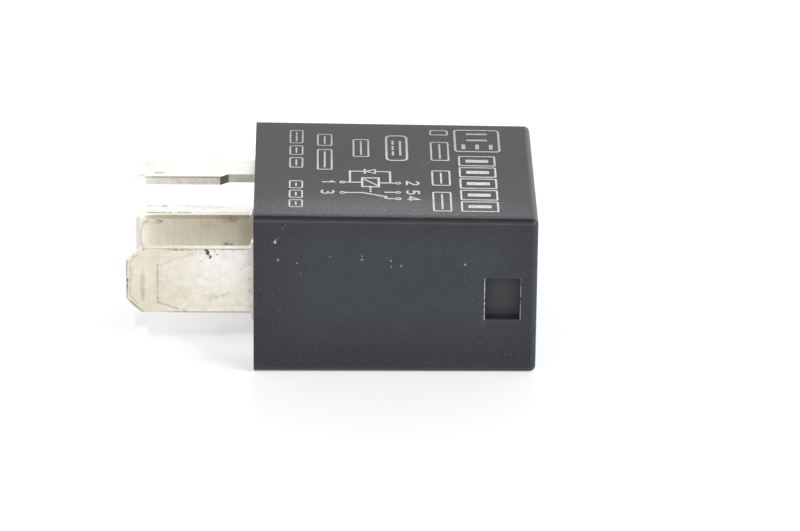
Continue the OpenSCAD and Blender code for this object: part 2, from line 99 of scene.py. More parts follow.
# ================================================================ node helpers
class Tree:
    """Short names for building a material's nodes. Coordinates are in millimetres in the row frame."""

    def __init__(self, name, roughness=0.5, metallic=0.0, ior=1.5, specular=0.5):
        self.mat = bpy.data.materials.new(name)
        self.mat.use_nodes = True
        self.t = self.mat.node_tree
        self.b = self.t.nodes["Principled BSDF"]
        self.b.inputs["Roughness"].default_value = roughness
        self.b.inputs["Metallic"].default_value = metallic
        self.b.inputs["IOR"].default_value = ior
        self.b.inputs["Specular IOR Level"].default_value = specular
        tc = self.t.nodes.new("ShaderNodeTexCoord")
        s = self.t.nodes.new("ShaderNodeVectorMath")
        s.operation = "SCALE"
        s.inputs["Scale"].default_value = 1000.0
        self.t.links.new(tc.outputs["Object"], s.inputs[0])
        self.p = s.outputs[0]
        sep = self.t.nodes.new("ShaderNodeSeparateXYZ")
        self.t.links.new(self.p, sep.inputs[0])
        self.x, self.y, self.z = sep.outputs
        self._normal = None
        self.pairs = {}

    def put(self, socket, value):
        if isinstance(value, bpy.types.NodeSocket):
            self.t.links.new(value, socket)
        elif isinstance(value, (tuple, list)) and len(value) == 3 and socket.type == "RGBA":
            socket.default_value = (*value, 1)
        else:
            socket.default_value = value

    def math(self, op, a, b=0.0, c=None, clamp=False):
        n = self.t.nodes.new("ShaderNodeMath")
        n.operation, n.use_clamp = op, clamp
        self.put(n.inputs[0], a)
        self.put(n.inputs[1], b)
        if c is not None:
            self.put(n.inputs[2], c)
        return n.outputs[0]

    def add(self, a, b): return self.math("ADD", a, b)
    def mul(self, a, b): return self.math("MULTIPLY", a, b)
    def both(self, a, b): return self.math("MAXIMUM", a, b)

    def step(self, v, lo, hi, a=0.0, b=1.0):
        """Smooth step of v from lo to hi, giving a to b."""
        n = self.t.nodes.new("ShaderNodeMapRange")
        n.interpolation_type = "SMOOTHSTEP"
        self.put(n.inputs["Value"], v)
        n.inputs["From Min"].default_value = lo
        n.inputs["From Max"].default_value = hi
        n.inputs["To Min"].default_value = a
        n.inputs["To Max"].default_value = b
        return n.outputs[0]

    def mix(self, fac, a, b, blend="MIX"):
        n = self.t.nodes.new("ShaderNodeMix")
        n.data_type, n.blend_type = "RGBA", blend
        self.put(n.inputs["Factor"], fac)
        self.put(n.inputs["A"], a)
        self.put(n.inputs["B"], b)
        return n.outputs["Result"]

    def stretch(self, scale=(1, 1, 1), shift=(0, 0, 0), source=None):
        n = self.t.nodes.new("ShaderNodeMapping")
        self.t.links.new(source or self.p, n.inputs["Vector"])
        n.inputs["Location"].default_value = shift
        n.inputs["Scale"].default_value = scale
        return n.outputs[0]

    def noise(self, scale, detail=2.0, rough=0.5, source=None, distort=0.0):
        n = self.t.nodes.new("ShaderNodeTexNoise")
        self.t.links.new(source or self.p, n.inputs["Vector"])
        n.inputs["Scale"].default_value = scale
        n.inputs["Detail"].default_value = detail
        n.inputs["Roughness"].default_value = rough
        n.inputs["Distortion"].default_value = distort
        return n.outputs["Fac"]

    def cells(self, scale, feature="F1", source=None, random_=1.0):
        n = self.t.nodes.new("ShaderNodeTexVoronoi")
        n.feature = feature
        self.t.links.new(source or self.p, n.inputs["Vector"])
        n.inputs["Scale"].default_value = scale
        n.inputs["Randomness"].default_value = random_
        return n.outputs["Distance"], n.outputs.get("Color")

    def grey(self, colour):
        n = self.t.nodes.new("ShaderNodeSeparateColor")
        self.t.links.new(colour, n.inputs[0])
        return n.outputs[0], n.outputs[1], n.outputs[2]

    def specks(self, scale, radius, share, source=None):
        """Small round specks in a share of the cells, of differing sizes: 0 to 1."""
        dist, colour = self.cells(scale, source=source)
        pick, size, _ = self.grey(colour)
        chosen = self.step(pick, 1 - share - 0.001, 1 - share)
        rad = self.mul(self.math("MULTIPLY_ADD", size, 0.7, 0.3), radius * scale)
        inside = self.math("SUBTRACT", 1.0, self.math("DIVIDE", dist, rad), clamp=True)
        return self.mul(self.step(inside, 0.0, 0.5), chosen)

    def wobble(self, amount, scale):
        """Coordinates shaken by noise, for edges that aren't straight."""
        n = self.t.nodes.new("ShaderNodeTexNoise")
        self.t.links.new(self.p, n.inputs["Vector"])
        n.inputs["Scale"].default_value = scale
        n.inputs["Detail"].default_value = 1.5
        off = self.t.nodes.new("ShaderNodeVectorMath")
        off.operation = "MULTIPLY_ADD"
        self.t.links.new(n.outputs["Color"], off.inputs[0])
        off.inputs[1].default_value = (amount * 2,) * 3
        off.inputs[2].default_value = (-amount,) * 3
        s = self.t.nodes.new("ShaderNodeVectorMath")
        s.operation = "ADD"
        self.t.links.new(self.p, s.inputs[0])
        self.t.links.new(off.outputs[0], s.inputs[1])
        sep = self.t.nodes.new("ShaderNodeSeparateXYZ")
        self.t.links.new(s.outputs[0], sep.inputs[0])
        return sep.outputs[0], sep.outputs[1], sep.outputs[2]

    def flat(self, uv):
        """Two coordinates as one vector, made once for each pair."""
        key = (uv[0].node.name, uv[0].name, uv[1].node.name, uv[1].name)
        if key not in self.pairs:
            n = self.t.nodes.new("ShaderNodeCombineXYZ")
            self.t.links.new(uv[0], n.inputs[0])
            self.t.links.new(uv[1], n.inputs[1])
            self.pairs[key] = n.outputs[0]
        return self.pairs[key]

    def vec(self, op, a, b=None, c=None):
        n = self.t.nodes.new("ShaderNodeVectorMath")
        n.operation = op
        for k, v in enumerate((a, b, c)):
            if v is not None:
                self.put(n.inputs[k], v)
        return n.outputs["Value"] if op == "LENGTH" else n.outputs[0]

    def blob(self, uv, centre, radii, soft=0.5):
        """Soft ellipse in a plane: 1 inside, 0 outside."""
        k = (1 / radii[0], 1 / radii[1], 0)
        v = self.vec("MULTIPLY_ADD", self.flat(uv), k, (-centre[0] * k[0], -centre[1] * k[1], 0))
        return self.step(self.vec("LENGTH", v), 1 - soft, 1 + soft, 1.0, 0.0)

    def line(self, uv, p, q, width, soft=0.6):
        """Soft line from p to q in a plane: 1 on it, 0 off it."""
        dx, dy = q[0] - p[0], q[1] - p[1]
        half, turn = math.hypot(dx, dy) / 2, math.atan2(dy, dx)
        cx, cy = (p[0] + q[0]) / 2, (p[1] + q[1]) / 2
        n = self.t.nodes.new("ShaderNodeMapping")
        self.t.links.new(self.flat(uv), n.inputs["Vector"])
        n.inputs["Rotation"].default_value = (0, 0, -turn)
        c, d = math.cos(turn), math.sin(turn)
        n.inputs["Location"].default_value = (-(c * cx + d * cy), -(c * cy - d * cx), 0)
        v = self.vec("ABSOLUTE", n.outputs[0])
        v = self.vec("MAXIMUM", self.vec("SUBTRACT", v, (half, 0, 0)), (0, 0, 0))
        return self.step(self.vec("LENGTH", v), width * (1 - soft) / 2, width * (1 + soft) / 2, 1.0, 0.0)

    def bump(self, height, distance_mm, strength=1.0):
        n = self.t.nodes.new("ShaderNodeBump")
        n.inputs["Strength"].default_value = strength
        n.inputs["Distance"].default_value = distance_mm * MM
        self.put(n.inputs["Height"], height)
        if self._normal is not None:
            self.t.links.new(self._normal, n.inputs["Normal"])
        self._normal = n.outputs["Normal"]

    def done(self, colour, roughness=None):
        self.put(self.b.inputs["Base Color"], colour)
        if roughness is not None:
            self.put(self.b.inputs["Roughness"], roughness)
        if self._normal is not None:
            self.t.links.new(self._normal, self.b.inputs["Normal"])
        return self.mat


# ================================================================ light
def studio_world(glow):
    """A white tent: bright low down all round and behind, dark above the camera."""
    w = bpy.data.worlds.new("studio")
    scene.world = w
    w.use_nodes = True
    t = w.node_tree
    bg = t.nodes["Background"]
    tc = t.nodes.new("ShaderNodeTexCoord")
    sep = t.nodes.new("ShaderNodeSeparateXYZ")
    t.links.new(tc.outputs["Generated"], sep.inputs[0])

    def step(v, lo, hi, a, b):
        n = t.nodes.new("ShaderNodeMapRange")
        n.interpolation_type = "SMOOTHSTEP"
        t.links.new(v, n.inputs["Value"])
        for k, q in zip(("From Min", "From Max", "To Min", "To Max"), (lo, hi, a, b)):
            n.inputs[k].default_value = q
        return n.outputs[0]

    def times(a, b):
        n = t.nodes.new("ShaderNodeMath")
        n.operation = "MULTIPLY"
        t.links.new(a, n.inputs[0])
        if isinstance(b, float):
            n.inputs[1].default_value = b
        else:
            t.links.new(b, n.inputs[1])
        return n.outputs[0]

    dot = t.nodes.new("ShaderNodeVectorMath")
    dot.operation = "DOT_PRODUCT"
    e = math.radians(70)
    dot.inputs[1].default_value = (0, -math.cos(e), math.sin(e))
    t.links.new(tc.outputs["Generated"], dot.inputs[0])
    cap = step(dot.outputs["Value"], 0.62, 0.88, 1.0, 0.16)
    behind = step(sep.outputs["Y"], -0.2, 0.9, 1.0, 1.32)
    high = step(sep.outputs["Z"], 0.55, 0.85, 1.0, 0.35)
    t.links.new(times(times(times(cap, behind), high), glow), bg.inputs["Strength"])
    bg.inputs["Color"].default_value = (1, 1, 1, 1)


def softbox(name, place, aim, size, power, colour=(1, 1, 1)):
    data = bpy.data.lights.new(name, "AREA")
    data.shape, data.size, data.size_y = "RECTANGLE", size[0], size[1]
    data.energy, data.color = power, colour
    o = bpy.data.objects.new(name, data)
    scene.collection.objects.link(o)
    o.location = place
    o.rotation_mode = "QUATERNION"
    o.rotation_quaternion = (Vector(place) - Vector(aim)).to_track_quat("Z", "Y")
    o.visible_camera = False
    return o


studio_world(1.12)
softbox("left_box", (-0.95, -0.75, 0.80), (0, 0, 0), (0.9, 0.7), 10.0)
softbox("right_box", (1.05, -0.65, 0.78), (0.012, 0, 0), (0.9, 0.7), 17.0, (0.93, 0.965, 1.0))


# ================================================================ floor
def make_floor():
    mesh = bpy.data.meshes.new("floor")
    s, z = 6.0, cad_box[0][2] - 0.00001
    mesh.from_pydata([(-s, -s, z), (s, -s, z), (s, s, z), (-s, s, z)], [], [(0, 1, 2, 3)])
    floor = bpy.data.objects.new("floor", mesh)
    scene.collection.objects.link(floor)
    m = Tree("floor_sheet", roughness=0.1)
    m.b.inputs["Emission Color"].default_value = (1, 1, 1, 1)
    m.b.inputs["Emission Strength"].default_value = 0.39
    mesh.materials.append(m.done((0.60, 0.60, 0.60)))


make_floor()


# ================================================================ mesh helpers
def new_object(name, bm, material, body="housing", scale=MM):
    """A finished mesh, drawn in millimetres, that rides on a body."""
    bmesh.ops.recalc_face_normals(bm, faces=bm.faces[:])
    if scale != 1:
        bmesh.ops.scale(bm, vec=(scale,) * 3, verts=bm.verts[:])
    mesh = bpy.data.meshes.new(name)
    bm.to_mesh(mesh)
    bm.free()
    mesh.materials.append(material)
    o = bpy.data.objects.new(name, mesh)
    scene.collection.objects.link(o)
    if body:
        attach(o, body)
    return o


def loft(bm, loops, caps=(True, True)):
    """Skins a row of equal closed loops."""
    rows = [[bm.verts.new(p) for p in loop] for loop in loops]
    n = len(rows[0])
    for a, b in zip(rows, rows[1:]):
        for k in range(n):
            bm.faces.new((a[k], a[(k + 1) % n], b[(k + 1) % n], b[k]))
    if caps[0]:
        bm.faces.new(rows[0][::-1])
    if caps[1]:
        bm.faces.new(rows[-1])
    return rows


def rrect(w, h, r, n, cy=0.0, cz=0.0):
    """Points of a rounded rectangle in YZ."""
    out = []
    for q in range(4):
        sx, sy = (1 if q in (0, 3) else -1), (1 if q < 2 else -1)
        for i in range(n + 1):
            a = math.radians(q * 90 + i * 90 / n)
            out.append((cy + sx * (w / 2 - r) + r * math.cos(a), cz + sy * (h / 2 - r) + r * math.sin(a)))
    return out


def box_bm(lo, hi):
    bm = bmesh.new()
    bmesh.ops.create_cube(bm, size=1)
    for v in bm.verts:
        v.co = Vector([lo[k] + (v.co[k] + 0.5) * (hi[k] - lo[k]) for k in range(3)])
    return bm


def cut(base, tool, how="DIFFERENCE"):
    """Exact boolean of two bmeshes, giving a new one."""
    made = []
    for k, bm in enumerate((base, tool)):
        bmesh.ops.recalc_face_normals(bm, faces=bm.faces[:])
        mesh = bpy.data.meshes.new(f"tmp{k}")
        bm.to_mesh(mesh)
        bm.free()
        o = bpy.data.objects.new(f"tmp{k}", mesh)
        scene.collection.objects.link(o)
        made.append(o)
    m = made[0].modifiers.new("cut", "BOOLEAN")
    m.operation, m.object, m.solver = how, made[1], "EXACT"
    dg = bpy.context.evaluated_depsgraph_get()
    out = bmesh.new()
    out.from_mesh(made[0].evaluated_get(dg).to_mesh())
    for o in made:
        mesh = o.data
        bpy.data.objects.remove(o)
        bpy.data.meshes.remove(mesh)
    return out


def shade(o, angle=40, weighted=True):
    """Smooth shading that stays sharp at real edges."""
    bm = bmesh.new()
    bm.from_mesh(o.data)
    for f in bm.faces:
        f.smooth = True
    for e in bm.edges:
        e.smooth = not (len(e.link_faces) == 2 and e.calc_face_angle(0) > math.radians(angle))
    bm.to_mesh(o.data)
    bm.free()
    if weighted:
        m = o.modifiers.new("weighted", "WEIGHTED_NORMAL")
        m.keep_sharp = True
    return o


def soften_group():
    """Node group that joins a CAD node's split faces and smooths them up to an angle."""
    g = bpy.data.node_groups.new("soften", "GeometryNodeTree")
    g.interface.new_socket("Geometry", in_out="INPUT", socket_type="NodeSocketGeometry")
    g.interface.new_socket("Geometry", in_out="OUTPUT", socket_type="NodeSocketGeometry")
    n = g.nodes
    gi, go = n.new("NodeGroupInput"), n.new("NodeGroupOutput")
    drop = n.new("GeometryNodeRemoveAttribute")
    drop.inputs["Name"].default_value = "custom_normal"
    weld = n.new("GeometryNodeMergeByDistance")
    weld.inputs["Distance"].default_value = 1e-7
    faces = n.new("GeometryNodeSetShadeSmooth")
    faces.domain = "FACE"
    faces.inputs["Shade Smooth"].default_value = True
    edges = n.new("GeometryNodeSetShadeSmooth")
    edges.domain = "EDGE"
    angle = n.new("GeometryNodeInputMeshEdgeAngle")
    less = n.new("FunctionNodeCompare")
    less.data_type, less.operation = "FLOAT", "LESS_THAN"
    less.inputs[1].default_value = math.radians(32)
    g.links.new(angle.outputs["Unsigned Angle"], less.inputs[0])
    g.links.new(less.outputs[0], edges.inputs["Shade Smooth"])
    g.links.new(gi.outputs[0], drop.inputs[0])
    g.links.new(drop.outputs[0], weld.inputs[0])
    g.links.new(weld.outputs[0], faces.inputs[0])
    g.links.new(faces.outputs[0], edges.inputs[0])
    g.links.new(edges.outputs[0], go.inputs[0])
    return g


SOFTEN = soften_group()


def dress(name, material, round_mm=0.0):
    """Gives a CAD node its finish, and breaks its edges by a small radius when round_mm is given."""
    o = nodes[name]
    for s in o.material_slots:
        s.link = "OBJECT"
        s.material = material
    m = o.modifiers.new("soften", "NODES")
    m.node_group = SOFTEN
    if round_mm:
        b = o.modifiers.new("round", "BEVEL")
        b.limit_method, b.angle_limit = "ANGLE", math.radians(32)
        b.width, b.segments = round_mm * MM, 2
        b.harden_normals = True
        c = o.modifiers.new("close", "WELD")
        c.merge_threshold = 2e-6
    w = o.modifiers.new("weighted", "WEIGHTED_NORMAL")
    w.keep_sharp = True
    return o


# ================================================================ sizes, in mm
lo, hi = (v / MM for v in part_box("cover"))
BODY_L, BODY_W, BODY_H = hi.x - lo.x, hi.y - lo.y, hi.z - lo.z
WALL, DRAFT, CAP_R = 1.1, 0.146, 0.55
EDGE_RIM, EDGE_CAP = 0.62, 0.50
IN_Y, IN_Z, FLOOR_X = BODY_W / 2 - WALL, BODY_H / 2 - WALL, BODY_L - WALL
POCKET = (21.95 - 1.55, 21.95 + 1.55, -0.35 - 1.95, -0.35 + 1.95)
POCKET_DEPTH = 0.85


def top_z(x):
    """Height of the cover's upper face at x."""
    return BODY_H / 2 - 2 * DRAFT * x / BODY_L


def front_y(x):
    return -BODY_W / 2 + DRAFT * x / BODY_L


# ================================================================ materials
def cover_plastic():
    """Black nylon from a spark-eroded mould: fine grain, a layer of dust, specks and light scratches, with painted
    shade, highlights and sheen.
    """
    m = Tree("cover_plastic_black", ior=1.46)
    grain = m.noise(5.0, 2, 0.66)
    fine = m.noise(11.0, 1, 0.6)
    drift = m.noise(0.12, 1, 0.5)
    patch = m.noise(0.55, 2, 0.6)
    # distances in from the three pairs of faces, for the rounded edges between them
    run = m.mul(m.x, DRAFT / BODY_L)
    ay = m.math("ABSOLUTE", m.y)
    ey = m.math("SUBTRACT", m.add(ay, run), BODY_W / 2 - 0.62)
    az = m.both(m.math("MULTIPLY_ADD", run, 2.0, m.z), m.mul(m.z, -1.0))
    ez = m.math("SUBTRACT", az, BODY_H / 2 - 0.62)
    ex = m.math("SUBTRACT", m.x, BODY_L - CAP_R)
    low2 = m.math("MINIMUM", ey, ez)
    ends = m.both(m.math("MINIMUM", ey, ex), m.math("MINIMUM", ez, ex))
    fillet = m.step(m.both(low2, ends), 0.0, 0.10)
    glossy = m.both(m.step(low2, 0.10, 0.34), m.step(ends, 0.0, 0.10))
    # a haze of dust and handling, thickest across the middle of the sides, and painted shade that leaves the sides
    # darker towards the bottom
    side = m.mul(m.step(ay, 9.9, 10.0), m.step(ex, 0.40, 0.49, 1.0, 0.0))
    haze_and_shade = m.mul(m.step(m.z, -6.6, -0.6), m.step(m.z, 4.2, 7.0, 1.0, 0.50))
    haze_and_shade = m.mul(haze_and_shade, m.mul(m.step(m.x, -0.5, 6.5, 0.25, 1.0), m.step(m.x, 20.0, 24.8, 1.0, 0.40)))
    haze_and_shade = m.mul(haze_and_shade, m.step(patch, 0.2, 0.75, 0.72, 1.12))
    col = m.mix(m.step(drift, 0.3, 0.7), (0.0086, 0.0093, 0.0130), (0.0106, 0.0113, 0.0150))
    col = m.mix(m.mul(haze_and_shade, side), col, (0.0215, 0.0250, 0.0300))
    # the pockets' floors keep more dust than their walls
    col = m.mix(m.mul(m.mul(side, m.step(ay, 10.3, 10.4, 1.0, 0.0)), 0.8), col, (0.0235, 0.0245, 0.0275))
    # painted cool highlight on the rounded edges of the closed end
    col = m.mix(m.mul(m.mul(fillet, m.step(ex, 0.0, 0.25)), 0.55), col, (0.012, 0.025, 0.038))
    col = m.mix(m.mul(m.step(grain, 0.52, 0.76), 0.42), col, (0.052, 0.054, 0.058))
    col = m.mix(m.mul(m.step(grain, 0.50, 0.30), 0.35), col, (0.006, 0.006, 0.008))
    # a layer of dust on the upper face, and painted sheen that makes it paler beside its near edge, most of all at its
    # middle
    up = m.mul(m.step(m.z, 6.95, 7.15), m.math("SUBTRACT", 1.0, fillet))
    near = m.mul(m.blob((m.x, m.y), (11.4, -9.5), (9.5, 2.6), 0.9), m.step(m.y, -11.1, -10.6, 0.55, 1.0))
    rows_ = m.noise(1.0, 1, 0.6, source=m.stretch((9.0, 2.2, 2.2)))
    dust_and_sheen = m.mul(up, m.add(m.mul(near, 0.62), m.step(m.y, 4.0, -10.0, 0.02, 0.14)))
    dust_and_sheen = m.mul(dust_and_sheen, m.step(m.add(m.mul(grain, 0.7), m.mul(rows_, 0.5)), 0.42, 0.78, 0.25, 1.0))
    col = m.mix(dust_and_sheen, col, (0.150, 0.150, 0.153))
    # painted shade: the thin dark line where the upper face ends; painted highlight: the paler lower half of its
    # rounded edge
    rim_shade_line = m.mul(m.step(ey, -0.34, -0.22), m.step(ey, -0.08, 0.02, 1.0, 0.0))
    rim_shade_line = m.mul(m.mul(rim_shade_line, m.step(m.z, 6.95, 7.15)), m.step(patch, 0.25, 0.60, 0.55, 1.0))
    col = m.mix(m.mul(rim_shade_line, 0.75), col, (0.006, 0.006, 0.008))
    lower = m.mul(m.mul(m.step(ez, 0.02, 0.14), m.step(ez, 0.30, 0.56, 1.0, 0.0)), m.step(ey, 0.20, 0.40))
    col = m.mix(m.mul(lower, 0.75), col, (0.0225, 0.0245, 0.0285))
    # specks of dust
    dots = m.specks(0.50, 0.085, 0.22)
    small = m.specks(1.7, 0.042, 0.22)
    colour_dots = m.both(m.mul(dots, 0.55), m.mul(small, 0.42))
    front = m.step(m.y, -11.0, -10.8, 1.0, 0.0)
    uv = (m.x, m.z)
    for cx, cz, r, v in ((1.9, 5.12, 0.105, 1.0), (1.97, 5.34, 0.05, 0.6), (2.22, 5.5, 0.04, 0.5), (2.17, 3.4, 0.075, 0.75), (3.83, 3.12, 0.055, 0.6),
                         (2.6, 6.4, 0.05, 0.35), (2.85, 6.7, 0.04, 0.35), (6.73, 3.75, 0.05, 0.45), (9.53, 3.44, 0.065, 0.85), (9.55, 3.78, 0.05, 0.7),
                         (12.08, 3.34, 0.065, 0.6), (12.1, 2.78, 0.055, 0.6), (12.97, 2.86, 0.065, 0.7), (18.59, 2.98, 0.075, 0.75), (4.15, 2.1, 0.05, 0.45)):
        colour_dots = m.both(colour_dots, m.mul(m.mul(front, v), m.blob(uv, (cx, cz), (r, r * 1.3), 0.45)))
    col = m.mix(colour_dots, col, (0.36, 0.36, 0.355))
    # pale broken lines along the left and right edges of each side pocket's mouth
    wx = m.math("MULTIPLY_ADD", fine, 0.07, m.math("SUBTRACT", m.x, 0.035))
    deep = m.step(m.add(ay, run), BODY_W / 2 - 0.20, BODY_W / 2 - 0.12)
    span = m.mul(m.step(m.z, POCKET[2] - 0.12, POCKET[2] + 0.05), m.step(m.z, POCKET[3] - 0.05, POCKET[3] + 0.12, 1.0, 0.0))
    left = m.step(m.math("ABSOLUTE", m.math("SUBTRACT", wx, POCKET[0] - 0.02)), 0.035, 0.085, 1.0, 0.0)
    right = m.step(m.math("ABSOLUTE", m.math("SUBTRACT", wx, POCKET[1] + 0.02)), 0.02, 0.06, 1.0, 0.0)
    rough_line = m.step(m.noise(3.0, 2, 0.7), 0.40, 0.58)
    mouth_lines = m.mul(m.mul(deep, span), m.both(m.mul(left, m.add(m.mul(rough_line, 0.6), 0.35)), m.mul(m.mul(right, rough_line), 0.62)))
    col = m.mix(mouth_lines, col, (0.40, 0.40, 0.40))
    # painted highlights: thin pale lines where the faces meet the rounded edges
    edge_highlights = m.mul(m.step(m.math("ABSOLUTE", m.math("SUBTRACT", ey, 0.13)), 0.05, 0.15, 1.0, 0.0), m.step(ez, 0.45, 0.55))
    edge_highlights = m.both(edge_highlights, m.mul(m.step(m.math("ABSOLUTE", m.math("SUBTRACT", ez, 0.225)), 0.025, 0.085, 1.0, 0.0), m.step(ey, 0.45, 0.55)))
    edge_highlights = m.mul(m.mul(edge_highlights, m.step(m.z, -1.0, 1.0)), m.step(patch, 0.30, 0.60, 0.45, 1.0))
    col = m.mix(m.mul(edge_highlights, 0.30), col, (0.085, 0.087, 0.092))
    # two short curved scratches on the upper face
    sx, sy, sz = m.wobble(0.10, 0.9)
    s = m.line((sx, sy), (14.4, 0.2), (15.4, 1.1), 0.10)
    s = m.both(s, m.line((sx, sy), (15.4, 1.1), (15.75, 2.6), 0.09))
    s = m.both(s, m.mul(m.line((sx, sy), (10.9, -7.7), (11.3, -6.4), 0.16), 1.0))
    s = m.mul(m.mul(s, up), m.step(fine, 0.35, 0.6))
    col = m.mix(m.mul(s, 0.75), col, (0.15, 0.15, 0.155))
    # hair-fine rubbing marks, mostly along the length
    hair = m.noise(1.0, 2, 0.75, source=m.stretch((0.5, 7.0, 7.0)))
    rough = m.add(m.mul(m.math("SUBTRACT", hair, 0.5), 0.10), m.mul(m.math("SUBTRACT", grain, 0.5), 0.20))
    rough = m.math("ADD", rough, 0.50)
    rough = m.both(rough, m.mul(dust_and_sheen, 0.62))
    rough = m.add(rough, m.mul(glossy, -0.11))
    calm = m.step(fillet, 0.0, 1.0, 1.0, 0.30)
    m.bump(m.mul(m.add(grain, m.mul(fine, 0.45)), calm), 0.036, 0.75)
    m.bump(m.noise(0.22, 1, 0.4), 0.10, 0.22)
    return m.done(col, rough)


def base_plastic():
    m = Tree("base_plastic_black")
    grain = m.noise(6.0, 3, 0.6)
    drift = m.noise(0.5, 3)
    col = m.mix(m.step(drift, 0.35, 0.7), (0.020, 0.020, 0.022), (0.032, 0.032, 0.034))
    col = m.mix(m.mul(m.specks(1.6, 0.06, 0.2), 0.6), col, (0.24, 0.24, 0.23))
    m.bump(grain, 0.022, 0.5)
    return m.done(col, m.math("MULTIPLY_ADD", grain, 0.25, 0.36))


def print_ink():
    """Warm light grey print, a little broken by the grain under it and rubbed thinner towards the far side."""
    m = Tree("print_ink", roughness=0.55)
    grain = m.noise(5.0, 3, 0.66)
    thin = m.noise(1.3, 3, 0.6)
    fade = m.step(m.y, -3.0, 9.0)
    gaps = m.step(m.add(m.add(grain, m.mul(thin, 0.25)), m.mul(fade, 0.05)), 0.66, 0.84)
    col = m.mix(m.step(thin, 0.3, 0.7), (0.54, 0.525, 0.49), (0.66, 0.645, 0.61))
    col = m.mix(m.mul(fade, 0.62), col, (0.26, 0.255, 0.24))
    col = m.mix(m.mul(gaps, 0.75), col, (0.13, 0.13, 0.13))
    m.bump(grain, 0.02, 0.4)
    return m.done(col, m.math("MULTIPLY_ADD", grain, 0.2, 0.45))


def tin(name, base, warm, dirt, extra=None, rough=(0.34, 0.52)):
    """Matt tin plate: cloudy, slightly yellowed, with fine draw lines and pits."""
    m = Tree(name, metallic=1.0)
    cloud = m.noise(0.42, 4, 0.55, distort=0.4)
    mottle = m.noise(2.4, 4, 0.65)
    fine = m.noise(9.0, 2, 0.6)
    draw = m.noise(1.0, 3, 0.7, source=m.stretch((0.35, 9.0, 9.0)))
    col = m.mix(m.step(cloud, 0.36, 0.66), base, warm)
    col = m.mix(m.mul(m.step(mottle, 0.50, 0.74), 0.34), col, warm, "MULTIPLY")
    col = m.mix(m.mul(m.step(m.noise(0.8, 3, 0.6, source=m.stretch(shift=(7, 3, 11))), 0.52, 0.70), 0.40), col, (0.70, 0.73, 0.60))
    col = m.mix(m.mul(m.step(m.noise(1.1, 3, 0.6, source=m.stretch(shift=(-5, 9, 2))), 0.54, 0.72), 0.34), col, (0.80, 0.70, 0.62))
    col = m.mix(m.mul(m.step(fine, 0.56, 0.8), 0.22), col, dirt)
    col = m.mix(m.mul(m.step(draw, 0.60, 0.75), 0.16), col, dirt)
    col = m.mix(m.mul(m.specks(1.3, 0.05, 0.16), 0.75), col, (0.12, 0.10, 0.08))
    roughness = m.math("MULTIPLY_ADD", m.add(m.mul(mottle, 0.6), m.mul(draw, 0.4)), rough[1] - rough[0], rough[0])
    if extra:
        col, roughness = extra(m, col, roughness)
    m.bump(m.add(m.mul(mottle, 0.8), m.mul(fine, 0.3)), 0.020, 0.45)
    m.bump(draw, 0.006, 0.5)
    return m.done(col, roughness)


